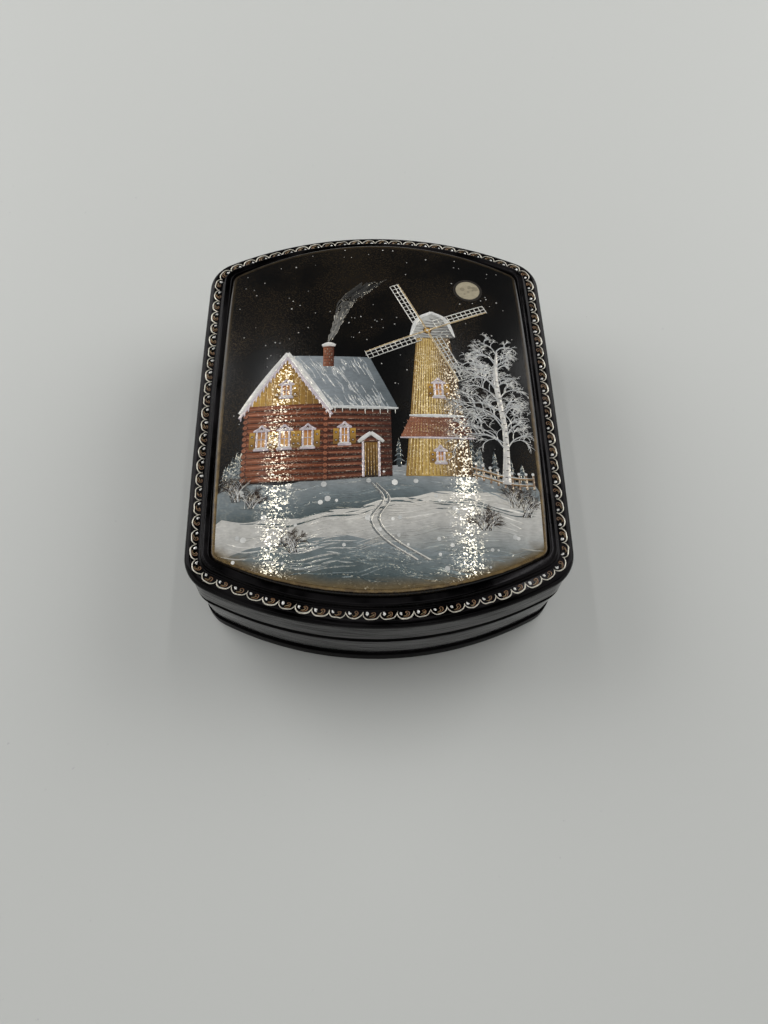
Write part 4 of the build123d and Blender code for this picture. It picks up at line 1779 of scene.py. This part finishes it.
mill.patch([on_mill(*corner) for corner in corners], skirt_tint, 0.14)
for row in range(SHINGLE_ROWS):
    y = SKIRT_FOOT + 0.5 + row * 1.1
    reach = mill_half(SKIRT_FOOT) + 2.0 - row * 0.42
    for number in range(SHINGLES):
        x = MILL_X - reach + 2 * reach * (number + 0.5 * (row % 2)) / SHINGLES
        tint = mixed(BRICK_PINK, TERRACOTTA_DEEP, number / SHINGLES + hand.uniform(-0.2, 0.2))
        mill.stroke(span(x + 0.45, y + 0.5, 0.45, -0.75), (0.06, 0.14, 0.06), tint, 0.15, 0.04)
for height, overhang, rise, widths, tint, thickness in (
    (SKIRT_TOP, 0.3, 0.25, (0.3, 0.55, 0.3), (0.58, 0.58, 0.56), 0.1),
    (SKIRT_FOOT, 2.3, -0.1, (0.2, 0.32, 0.2), LILAC, 0.08),
):
    rim_line = [on_mill(share, height, overhang, rise) for share in (-1, -0.4, 0.3, 1)]
    mill.stroke(rim_line, widths, tint, 0.16, thickness, 6)
window(mill, MILL_X + 0.8, 1.0, 2.1, 4.2, 0.16)
window(mill, MILL_X + 0.4, -20.0, 1.8, 3.2, 0.16)
print("mill tower:", len(mill.faces), "faces")

# %% [markdown]
# The cap is of shingles silvered by frost. Each course has a dark line under it, and snow lies down
# both sides.

# %% Mill cap
SILVER_DEEP = (0.10, 0.10, 0.10)
CAP_ROWS = 8
mill_cap = [(-6.2, -0.6), (6.2, -0.6), (4.2, 5.4), (0, 8.6), (-4.2, 5.4)]
mill_cap = [(MILL_X + x, MILL_TOP + y) for x, y in mill_cap]
mill.patch(mill_cap, washed(SILVER, SILVER_DEEP, (MILL_X - 4, MILL_TOP + 3), (MILL_X + 6, MILL_TOP)), 0.14)
for row in range(CAP_ROWS):
    reach = 6.0 - max(0, row - 4) * 1.25 - row * 0.25
    course = span(MILL_X, MILL_TOP + row * 1.0, reach, -0.35)
    tint = mixed((0.6, 0.6, 0.57), SILVER_DEEP, hand.uniform(0.1, 0.6))
    mill.stroke(course, (0.08, 0.14, 0.05), tint, 0.15, 0.04, 5)
    mill.stroke(moved(course, 0, -0.45), (0.04, 0.09, 0.04), DARK, 0.15, 0.03, 5)
for sign in (-1, 1):
    drift = ((0, 8.9), (sign * 4.0, 6.1), (sign * 6.4, -0.2))
    drift = [(MILL_X + x, MILL_TOP + y) for x, y in drift]
    mill.stroke(drift, (0.5, 0.6, 0.2), (0.60, 0.60, 0.58), 0.17, 0.1, 8)
print("courses on the cap:", CAP_ROWS)

# %% [markdown]
# A sail is an arm, three rails and a ladder of bars. It is drawn once and turned about the hub.

# %% Sails
HUB = Vector((14.6, 22.0))
SAILS, SAIL_START, SAIL_END, SAIL_WIDTH, SAIL_BARS = 4, 3.0, 19.5, 2.6, 12
SAIL_TURN = 24
for sail in range(SAILS):
    turn = math.radians(SAIL_TURN + 360 / SAILS * sail)
    ahead = Vector((math.cos(turn), math.sin(turn)))
    aside = Vector((-ahead.y, ahead.x))
    tint = mixed(SILVER, (0.66, 0.65, 0.60), 0.5 + 0.5 * ahead.y)
    arm = [HUB, HUB + ahead * SAIL_END / 2, HUB + ahead * SAIL_END]
    mill.stroke(arm, (0.34, 0.30, 0.18), (0.40, 0.30, 0.16), 0.22, 0.08, 8)
    for reach in (SAIL_WIDTH, SAIL_WIDTH / 2, 0.25):
        places = (SAIL_START, (SAIL_START + SAIL_END) / 2, SAIL_END)
        rail = [HUB + ahead * along + aside * reach for along in places]
        mill.stroke(rail, (0.12, 0.16, 0.10), tint, 0.23, 0.06, 8)
    for number in range(SAIL_BARS):
        spot = HUB + ahead * (SAIL_START + (SAIL_END - SAIL_START) * number / (SAIL_BARS - 1))
        bar = [spot - aside * 0.3, spot + aside * SAIL_WIDTH / 2, spot + aside * SAIL_WIDTH]
        mill.stroke(bar, (0.08, 0.12, 0.08), tint, 0.24, 0.06)
for radius, tint, lift in ((1.3, (0.10, 0.05, 0.02), 0.26), (0.9, GOLD, 0.28), (0.35, WHITE, 0.30)):
    mill.dot(*HUB, radius, tint, lift)
mill.finish()

# %% [markdown]
# ## Trees, fence and bushes
# Frost on a birch is painted thickest of all. A branch draws itself, then starts smaller ones that
# hang lower at every step. The same rule with dark paint makes bushes in the snow.

# %% Branches
wood = Paint("painted_trees")


def branch(start, turn, length, width, depth, droop, tints, lift):
    """A branch and the smaller branches that grow out of it."""
    middle = start + length / 2 * Vector((math.cos(turn), math.sin(turn)))
    end_turn = turn - droop * math.copysign(1, math.cos(turn))
    end = middle + length / 2 * Vector((math.cos(end_turn), math.sin(end_turn)))
    widths = (width, width * 0.8, width * 0.45)
    tint = tints[min(depth, len(tints) - 1)]
    wood.stroke([start, middle, end], widths, tint, lift, width * 0.5 + 0.02, 3 if depth else 2)
    if depth == 0:
        return
    for number in range(hand.randint(3, 5)):
        share = hand.uniform(0.25, 1.0)
        spot = start.lerp(middle, share * 2) if share < 0.5 else middle.lerp(end, share * 2 - 1)
        side = 1 if number % 2 else -1
        new_turn = turn + side * hand.uniform(0.35, 0.85)
        new_length = length * hand.uniform(0.42, 0.68)
        branch(spot, new_turn, new_length, width * 0.6, depth - 1, droop * 1.15, tints, lift + 0.01)


print("a branch starts three to five smaller ones")

# %% [markdown]
# A distant wood is a row of soft dark strokes on the ridge, with a little snow on their boughs.

# %% Firs
FIR_DARK, FIR_PALE, FIR_SNOW = (0.016, 0.024, 0.026), (0.05, 0.065, 0.07), (0.22, 0.25, 0.26)
FIRS, FIR_BOUGHS = 46, 4
for number in range(FIRS):
    x = hand.uniform(4, 41) if number % 3 else hand.uniform(-41, -36)
    foot = far_ridge(x) - 0.5
    tall = hand.uniform(4, 11)
    dark = mixed(FIR_DARK, FIR_PALE, hand.random())
    wood.stroke(upright(x, foot, foot + tall / 2, foot + tall), (1.1, 0.7, 0.05), dark, 0.01, 0.03)
    for row in range(FIR_BOUGHS):
        bough = span(x, foot + tall * (0.25 + 0.18 * row) - 0.5, 1.5 - row * 0.32, 0.8)
        wood.stroke(bough, (0.06, 0.2, 0.06), mixed(dark, FIR_SNOW, 0.6), 0.04, 0.03)
print("firs:", FIRS)

# %% [markdown]
# The birch is one thick tapering stroke with dark marks across its bark. Its boughs start along the
# trunk, to the right and the left in turn, and get shorter towards the top.

# %% Birch
FROST = ((0.66, 0.66, 0.64), (0.58, 0.59, 0.58), (0.42, 0.43, 0.43))
BIRCH_FOOT = (33.5, -27.5)
BARK_MARKS, BIRCH_BOUGHS = 16, 26
trunk = [Vector(BIRCH_FOOT) + Vector(place) for place in ((0, 0), (0.8, 16), (-0.4, 32), (0.6, 43))]
wood.stroke(trunk, (1.3, 0.75, 0.18), (0.46, 0.45, 0.43), 0.16, 0.2, 8)
trunk_line = smooth_line(trunk, 8)
for number in range(BARK_MARKS):
    spot = trunk_line[number + 1] + Vector((hand.uniform(-0.5, 0.1), 0))
    mark = [spot, spot + Vector((0.4, 0.08)), spot + Vector((0.8, 0))]
    wood.stroke(mark, (0.05, 0.16, 0.05), DARK, 0.34, 0.05)
for number in range(BIRCH_BOUGHS):
    spot = trunk_line[min(5 + number * 20 // BIRCH_BOUGHS, len(trunk_line) - 1)]
    turn = math.radians(hand.uniform(28, 62))
    turn, length = (turn, 7.5) if number % 2 else (math.pi - turn, 11.0)
    branch(spot, turn, length * (1.1 - number / 40), 0.22, 3, 0.5, FROST, 0.20)
print("boughs of the birch:", BIRCH_BOUGHS)

# %% [markdown]
# Bushes stick out of the snow, brown with a little frost. A fence of posts and two rails follows
# the ridge, with snow on every post and along the rails.

# %% Bushes and fence
TWIGS = ((0.05, 0.03, 0.02), (0.035, 0.02, 0.014), (0.02, 0.012, 0.01))
RAIL_TINT = (0.20, 0.13, 0.08)
SHRUB_STEMS, FENCE_POSTS = 7, 9
SHRUBS = (
    (-37.0, -31.5, 5.0),
    (-33.5, -33.5, 4.0),
    (38.0, -36.5, 5.5),
    (27.5, -40.5, 4.5),
    (-22.0, -46.0, 4.0),
    (35.0, -34.0, 4.5),
)
for x, y, tall in SHRUBS:
    for number in range(SHRUB_STEMS):
        turn = math.radians(hand.uniform(50, 130))
        branch(Vector((x + hand.uniform(-1.2, 1.2), y)), turn, tall, 0.12, 2, 0.12, TWIGS, 0.12)
        branch(Vector((x + hand.uniform(-1.2, 1.2), y)), turn, tall * 0.9, 0.07, 1, 0.12, FROST, 0.15)

for number in range(FENCE_POSTS):
    x = 25.5 + number * 1.9
    foot = far_ridge(x) - 2.2
    wood.stroke([(x, foot), (x + 0.1, foot + 2), (x, foot + 4.4)], (0.3, 0.28, 0.22), RAIL_TINT, 0.13, 0.08)
    wood.dot(x, foot + 4.5, 0.42, (0.6, 0.6, 0.58), 0.24)
for rise in (1.2, 3.0):
    rail = [(x, far_ridge(x) - 2.2 + rise) for x in (24.6, 29, 33, 37, 40.5)]
    wood.stroke(rail, (0.2, 0.24, 0.16), mixed(RAIL_TINT, GOLD, 0.3), 0.15, 0.06)
    wood.stroke(moved(rail, 0, 0.3), (0.08, 0.16, 0.06), (0.55, 0.55, 0.53), 0.17, 0.07)
wood.finish()

# %% [markdown]
# ## Hang everything on the two bodies
# Each finished piece rides on the base or on the lid, and the node of the frame that it stands for is
# hidden.

# %% Bodies
def hang(piece, body, node):
    """Puts a piece on its body and hides the node that it stands for, if it has one."""
    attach(piece, body)
    if node:
        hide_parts(node)
    print(piece.name, "rides on the", body)


hang(board, "base", "base_bottom")
hang(base_wall, "base", "base_wall")
hang(collar, "base", "base_collar")
hang(lid_wall, "lid", "lid_wall")
hang(rim, "lid", "lid_rim")
hang(panel, "lid", "lid_panel")
for piece in border + painted:
    hang(piece, "lid", None)

# %% [markdown]
# ## Tidy up
# The helper curves go.

# %% Finish
take_out(plan_path, warped_path)
